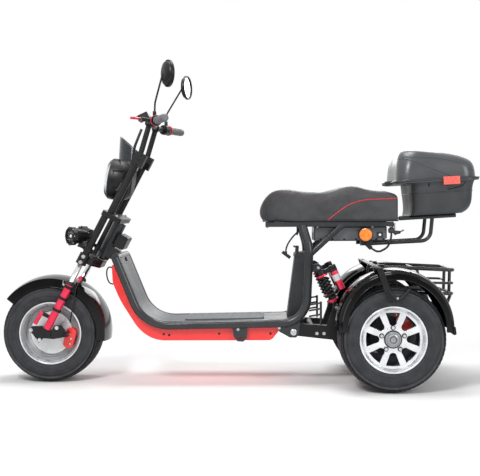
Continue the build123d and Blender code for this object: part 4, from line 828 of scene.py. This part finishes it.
def leather(name, colour, second):
    """Grained leather cloth: cells a millimetre or two across, with a soft uneven gloss."""
    made = bpy.data.materials.new(name)
    tree = empty_tree(made)
    place = add(tree, "ShaderNodeTexCoord")
    cells = add(tree, "ShaderNodeTexVoronoi", {
        "Vector": place.outputs["Object"], "Scale": SEAT_GRAIN}, feature="DISTANCE_TO_EDGE")
    wrinkle = add(tree, "ShaderNodeTexNoise", {"Vector": place.outputs["Object"], "Scale": 26.0, "Detail": 6.0})
    share = add(tree, "ShaderNodeMapRange", {"Value": wrinkle.outputs["Fac"], "From Min": 0.35, "From Max": 0.65})
    mixed = add(tree, "ShaderNodeMix", {
        0: share.outputs[0], 6: linear(colour), 7: linear(second)}, data_type="RGBA")
    gloss = add(tree, "ShaderNodeMapRange", {"Value": wrinkle.outputs["Fac"], "To Min": 0.42, "To Max": 0.6})
    pits = add(tree, "ShaderNodeBump", {"Height": cells.outputs["Distance"], "Strength": 0.35, "Distance": 0.0003})
    folds = add(tree, "ShaderNodeBump", {
        "Height": wrinkle.outputs["Fac"], "Strength": 0.3, "Distance": 0.002, "Normal": pits.outputs[0]})
    skin = add(tree, "ShaderNodeBsdfPrincipled", {
        "Base Color": mixed.outputs[2], "Roughness": gloss.outputs[0], "Normal": folds.outputs[0],
        "Sheen Weight": 0.15, "Sheen Roughness": 0.4})
    add(tree, "ShaderNodeOutputMaterial", {"Surface": skin.outputs[0]})
    return made


# vinyl-coated leather cloth: charcoal with pale, broken highlights on its grain
seat_leather = leather("grained_black_leather_cloth", "#2c2d30", "#37383b")
# vinyl over a cord: a clear red line with a soft gloss
piping_red = coating("red_piping_vinyl", "#b8202c", "#c92b36", 0.42, grain=0.7, depth=0.03, patch=25)
# waxed thread: dark red and dull
thread_red = coating("dark_red_thread", "#6e2026", "#85272e", 0.7, grain=0.3, depth=0.03, patch=12)
seat = dressed("seat_cushion")
low_corner, high_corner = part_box("seat_cushion")
seat_middle = (low_corner + high_corner) / 2
for vertex in seat.data.vertices:
    vertex.co.x = seat_middle.x + (vertex.co.x - seat_middle.x) * DRAWN_IN[0]
    vertex.co.y *= DRAWN_IN[1]
    vertex.co.z = low_corner.z + (vertex.co.z - low_corner.z) * DRAWN_IN[2]
even = seat.modifiers.new("even_skin", "REMESH")
even.mode = "VOXEL"
even.voxel_size = SKIN_STEP
settle(seat)
eased = seat.modifiers.new("eased_corners", "SMOOTH")
eased.factor = 0.5
eased.iterations = 14
settle(seat)
still = [vertex.co.copy() for vertex in seat.data.vertices]
cloth = seat.modifiers.new("swelling", "CLOTH")
cloth.settings.quality = 4
cloth.settings.mass = 0.4
cloth.settings.tension_stiffness = 80
cloth.settings.compression_stiffness = 80
cloth.settings.bending_stiffness = 12.0
cloth.settings.use_pressure = True
cloth.settings.uniform_pressure_force = 1.2
cloth.settings.effector_weights.gravity = 0.0
cloth.collision_settings.use_collision = False
held = seat.vertex_groups.new(name="held")
foot = [vertex.index for vertex in seat.data.vertices if vertex.co.z < low_corner.z + HELD_EDGE]
held.add(foot, 1.0, "REPLACE")
cloth.settings.vertex_group_mass = "held"
cloth.point_cache.frame_start = 1
cloth.point_cache.frame_end = SWELL_FRAMES
for step in range(1, SWELL_FRAMES + 1):
    bpy.context.scene.frame_set(step)
settle(seat)
bpy.context.scene.frame_set(1)
for vertex, before in zip(seat.data.vertices, still):
    moved = vertex.co - before
    if moved.length > SWELL_LIMIT:
        vertex.co = before + moved * (SWELL_LIMIT / moved.length)
seat.vertex_groups.clear()
for vertex in seat.data.vertices:      # the pan holds the skin at the ends and below
    vertex.co.x = min(max(vertex.co.x, low_corner.x - 0.004), high_corner.x + 0.006)
    vertex.co.z = max(vertex.co.z, low_corner.z + 0.0006)
seat.modifiers.new("finer_skin", "SUBSURF").levels = 1
settle(seat)
seat.data.materials.append(seat_leather)
seat.data.shade_smooth()


def skin_of(mesh):
    """The mesh as a skin that lines can be traced onto."""
    faces = [list(face.vertices) for face in mesh.polygons]
    return BVHTree.FromPolygons([vertex.co for vertex in mesh.vertices], faces)


def pressed(skin, starts, side, lift):
    """Where level lines inwards from the starts meet a skin, raised off it by lift mm."""
    found = []
    for start in starts:
        place, normal, _, _ = skin.ray_cast(start, Vector((0, -side, 0)))
        if place is not None:
            found.append(place + normal * (lift / 1000 if normal.y * side > 0 else -lift / 1000))
    return found


def smooth_run(points, spacing):
    """Points every spacing mm along a smooth line through (X, Z) points."""
    guide = in_scene("run", curve_through("run", [(x, 0.0, z) for x, z in points], steps=24))
    line = [vertex.co.copy() for vertex in plain(guide).vertices]
    bpy.data.objects.remove(guide)
    placed, spare = [line[0]], 0.0
    for before, after in zip(line, line[1:]):
        length = (after - before).length
        travel = spacing - spare
        while travel <= length:
            placed.append(before.lerp(after, travel / length))
            travel += spacing
        spare = length - (travel - spacing)
    return [(place.x, place.z) for place in placed]


piping = [(262, 712), (250, 722), (233, 737), (207, 757), (164, 788), (103, 806), (40, 810), (-50, 812)]
seam = [(546, 745), (545, 775), (530, 812), (497, 836), (440, 833), (380, 822), (323, 812), (262, 806), (215, 812),
        (170, 830), (120, 846), (70, 836), (10, 826), (-40, 820)]
stitch = closed(turned([(0, -2.1), (0.7, -1.7), (0.8, 0), (0.7, 1.7), (0, 2.1)], 8), "stitch")
seat_skin = skin_of(seat.data)
for side, word in ((1, "left"), (-1, "right")):
    line, spots = (pressed(seat_skin, [at(x, side * 260, z) for x, z in smooth_run(points, spacing)], side, lift)
                   for points, spacing, lift in ((piping, 8, 0.6), (seam, 6.0, 0.2)))
    line_of("seat_piping_" + word, line, 2.3, piping_red, "frame", "seat_leather")
    places = [looking((before + after) / 2, after - before) for before, after in zip(spots, spots[1:])]
    repeated("seat_stitches_" + word, stitch, places, thread_red, "frame")
pan_edge = [at(x, y, 716) for x, y in (
    (-54, 120), (-54, -120), (-46, -132), (60, -141), (230, -134), (420, -129), (520, -72), (545, 0), (520, 72),
    (420, 129), (230, 134), (60, 141), (-46, 132))]
line_of("seat_pan_edge", pan_edge, 3.2, black_rubber, "frame", "cable_rubber", cyclic=True)

# ------------------------------------------------------------------ swing arm and axle
# A welded steel arm and a cast drive housing with a finned motor, painted dark. Red
# calipers grip the rear discs.

# thick paint over a sand casting: dark, with a coarse uneven skin
axle_paint = coating("rough_cast_dark_paint", "#1c1d1f", "#2a2b2d", 0.5, grain=1.8, depth=0.12, patch=60)
dressed("swing_arm", satin_black, edge=1.5)
dressed("rear_axle", axle_paint, edge=1.0)
dressed("rear_calipers", signal_red, edge=2.0)
heads, fins = [], bmesh.new()
for side in (1, -1):
    for x, y, z in ((305, 143.1, 224), (274, 143.1, 224), (220, 144.1, 338)):
        heads.append(looking(at(x, side * y, z), (0, side, 0)))
repeated("arm_bolts", lug(9, 5), heads, bright_steel, "frame")
for k in range(13):
    turned([(72, -2), (79, -1.4), (79, 1.4), (72, 2), (72, -2)], 48,
           Matrix.Translation(at(95, -54 + 9 * k, 230)) @ across_left, fins)
solid("motor_fins", fins, "frame", "axle_cast", axle_paint)

# ------------------------------------------------------------------ rear dampers
# Coil-over dampers with piggyback reservoirs: anodised red collars and reservoirs, black
# caps and a dark coated spring.
shock_low, shock_top = at(220, 0, 338), at(298, 0, 512)
shock_axis = (shock_top - shock_low).normalized()
shock_length = (shock_top - shock_low).length * 1000
shock_side = Vector((-shock_axis.z, 0, shock_axis.x))


def on_damper(place):
    """How far a place is up the damper and how far in front of or behind its axis, in mm."""
    offset = place - shock_low
    return offset.dot(shock_axis) * 1000, abs(offset.dot(shock_side)) * 1000


def reservoir(side, height):
    """The matrix of something on a reservoir's axis, height mm up the damper."""
    foot = shock_low + shock_side * 0.056 + Vector((0, side * 0.126, 0)) + shock_axis * height / 1000
    return looking(foot, shock_axis)


dampers = dressed("dampers", red_anodised, satin_black, black_steel, edge=1.2)
for face in dampers.data.polygons:
    height, aside = on_damper(face.center)
    if aside > 38:                                                 # the reservoir: red between black ends
        red = 40 < height - (shock_length - 130) < 96 or height < shock_length - 122
        face.material_index = 0 if red else 1
    elif height > shock_length - 38 or height < 13:                # the top and the eye at the foot
        face.material_index = 1
    elif math.hypot(aside, abs(face.center.y) * 1000 - 126) < 11:  # the body inside the spring
        face.material_index = 2
dressed("damper_springs", satin_black)
# printed foil, left blank: a pale matt band
tag_white = coating("pale_blank_band", "#c9cbce", "#d6d8da", 0.45, grain=0.6, patch=12)
places = [on_damper(vertex.co) for vertex in dampers.data.vertices]
reservoir_top = max(height for height, aside in places if aside > 50)
bands, end_caps = bmesh.new(), bmesh.new()
for side in (1, -1):
    turned([(17.1, -14), (17.5, -13.6), (17.5, 13.6), (17.1, 14), (17.1, -14)], 32,
           reservoir(side, shock_length - 72), bands)
    turned([(0, -26), (17.9, -26), (17.9, -19), (17.3, -18), (17.9, -17), (17.9, -1), (15, 1.6), (5, 1.6), (4, 0.6),
            (0, 0.6)], 32, reservoir(side, reservoir_top), end_caps)
solid("reservoir_bands", bands, "frame", "wheel_silver", tag_white)
solid("reservoir_caps", end_caps, "frame", "black_gloss", satin_black)

# ------------------------------------------------------------------ rear mudguards
# Deep gloss black guards with a stepped crown and a rolled edge. A flat bar carries
# them, and a bent V bracket ties each skirt to it.
bracket = [(20, 432), (4, 404), (-8, 394), (-20, 394), (-34, 404), (-64, 436)]
for word, outward in (("left", 1), ("right", -1)):
    node = "rear_mudguard_" + word
    dressed(node, gloss_black)
    for edge, offset in (("outer", 105.2), ("inner", -105.2)):
        bead = arc_points(at(-12, 0, 272), 204.2, outward * (264 + offset), -3.5, 183.5)
        line_of("%s_bead_%s" % (node, edge), bead, 2.4, gloss_black, "frame", "black_gloss")
    line_of("guard_bracket_" + word, [at(x, outward * 371, z) for x, z in bracket], 5.5, satin_black, "frame",
            "black_gloss")
    tab = bmesh.new()
    place = Matrix.Translation(at(-249, outward * 330, 262)) @ Matrix.Rotation(math.radians(8), 4, "Y")
    add_box(tab, place, 14, 50, 34)
    ease(tab, 2.5)
    solid("guard_tab_" + word, tab, "frame", "black_gloss", satin_black)
dressed("mudguard_stays", satin_black, edge=1.0)
heads = []
for side in (1, -1):
    heads.append(looking(at(-13, side * 373, 398), (0, side, 0)))
    for x, y in ((60, 246), (60, 282), (38, 140)):
        heads.append(looking(at(x, side * y, 524.5), (0, 0, 1)))
repeated("guard_bolts", lug(8, 4), heads, bright_steel, "frame")

# ------------------------------------------------------------------ carrier and rack
# Bent and welded tube in gloss dark grey, open at the rear, with a second frame above it
# that carries the box. A wing nut, a clamp post and a lead clip are fixed to its side.
dressed("rear_carrier", frame_grey, edge=0.6)
dressed("box_rack", frame_grey, edge=0.8)
wing, clip = bmesh.new(), bmesh.new()
place = looking(at(-58, 104, 664), (0, 1, 0))
turned([(0, 0), (7, 0), (7, 8), (4, 12), (0, 12)], 20, place, wing)
for turn in (0.5, math.pi + 0.5):
    add_box(wing, place @ Matrix.Rotation(turn, 4, "Z") @ Matrix.Translation((0.013, 0, 0.010))
            @ Matrix.Rotation(math.radians(-28), 4, "Y"), 18, 5, 9)
solid("wing_nut", wing, "frame", "chromed", black_steel)
post = [(0, 0), (5, 0), (5, 36), (7, 37), (7, 41), (0, 41)]
solid("clamp_post", turned(post, 24, looking(at(-40, 112, 664), (0.05, 0, 1))), "frame", "chromed", chrome)
for x, z, long, high in ((-24, 672, 26, 22), (-44, 664, 24, 16)):
    add_box(clip, Matrix.Translation(at(x, 110, z)), long, 22, high)
ease(clip, 3)
solid("lead_clip", clip, "frame", "black_plastic", grained_plastic)

# ------------------------------------------------------------------ rear lead and cables
# Rubber-sheathed leads and the brake hose, held at both ends; a red fitting joins the
# hose to the leg.
dressed("rear_lead", black_rubber, edge=1.0)
dressed("control_cables", black_rubber)
fitting = [(0, -14), (5, -14), (5, -4), (7.5, -4), (7.5, 3), (5, 3), (5, 14), (0, 14)]
solid("hose_fitting", turned(fitting, 24, looking(at(1352, 109, 464), (0.45, 0.1, -0.89))), "steering",
      "red_anodised", red_anodised)

# ------------------------------------------------------------------ top box
# A moulded two-part box in satin charcoal plastic. A smooth lid with a swept crease sits
# on a ribbed tub with a flange, red side reflectors, hinge lugs and a small keyhole.
box_frame = Matrix.Translation(at(-208, 0, 893)) @ Matrix.Rotation(math.radians(3), 4, "Y")


def rounded_loop(x, z, length, width, corner, steps=8):
    """Places round a rounded rectangle across the box, in mm from the box's middle."""
    loop = []
    for cx, cy, start in ((1, 1, 0), (-1, 1, 90), (-1, -1, 180), (1, -1, 270)):
        for k in range(steps + 1):
            angle = math.radians(start + 90 * k / steps)
            px = cx * (length / 2 - corner) + corner * math.cos(angle)
            py = cy * (width / 2 - corner) + corner * math.sin(angle)
            loop.append(box_frame @ Vector(((x + px) / 1000, py / 1000, z / 1000)))
    return loop


# smooth moulded lid: charcoal, with broad soft reflections
lid_plastic = coating("satin_charcoal_moulding", "#393b3e", "#45474a", 0.3, grain=1.1, patch=110)
# grained moulded tub: a shade darker and duller than the lid
tub_plastic = coating("textured_charcoal_moulding", "#303234", "#3b3d40", 0.44, grain=1.0, depth=0.05, patch=100,
                      shine=0.4)
# moulded prisms behind a clear face: bright red with a sparkle, drawn coarser than real so that it shows
reflector_red = coating("prismatic_red_reflector", "#e2483c", "#ee6a5c", 0.3, grain=2.2, depth=0.12, patch=9,
                        coat=0.7)
dressed("box_base", tub_plastic, edge=0.6)
dressed("box_lid", lid_plastic, edge=0.6)
dressed("box_reflectors", reflector_red, edge=1.5)
for name, loop, radius, finish, body in (
    ("box_seam", (-4, -1.2, 367, 422, 62), 2.8, tub_plastic, "frame"),
    ("box_step", (-27, -56, 263, 375, 52), 2.2, tub_plastic, "frame"),
    ("lid_edge", (-1, 3.5, 344, 408, 60), 2.0, lid_plastic, "top_box_lid"),
):
    line_of(name, rounded_loop(*loop), radius, finish, body, "box_plastic", cyclic=True)
crease = smooth_run([(158, 96), (142, 101), (110, 92), (60, 66), (10, 42), (-30, 24), (-60, 10)], 10)
shoulder = smooth_run([(140, 106), (60, 101), (-20, 90), (-90, 70), (-140, 44), (-160, 24)], 10)
# the reflector's scoop is drawn as a dark line pressed into the tub: painted shade in its recess
shade_scoop = smooth_run([(-44, -47), (-103, -38), (-120, -20), (-124, -14)], 6)
keyhole = [(36, -16), (36, -22), (36, -28)]
lid_skin, tub_skin = skin_of(cad["box_lid"].data), skin_of(cad["box_base"].data)
for side, word in ((1, "left"), (-1, "right")):
    for name, skin, points, lift, radius, finish, body, slot in (
        ("lid_crease_", lid_skin, crease, -1.0, 3.4, lid_plastic, "top_box_lid", "box_plastic"),
        ("lid_shoulder_", lid_skin, shoulder, -1.0, 3.4, lid_plastic, "top_box_lid", "box_plastic"),
        # painted shade: a dark line along the reflector's recess
        ("reflector_recess_", tub_skin, shade_scoop, -0.6, 2.4, black_steel, "frame", "box_plastic"),
        ("box_lock_", tub_skin, keyhole, 0.4, 3.2, black_steel, "frame", "chromed"),
    ):
        starts = [box_frame @ Vector((x / 1000, side * 0.3, z / 1000)) for x, z in points]
        line_of(name + word, pressed(skin, starts, side, lift), radius, finish, body, slot)

size = {"cad": [list(corner) for corner in cad_box], "visual": [list(corner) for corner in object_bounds()]}
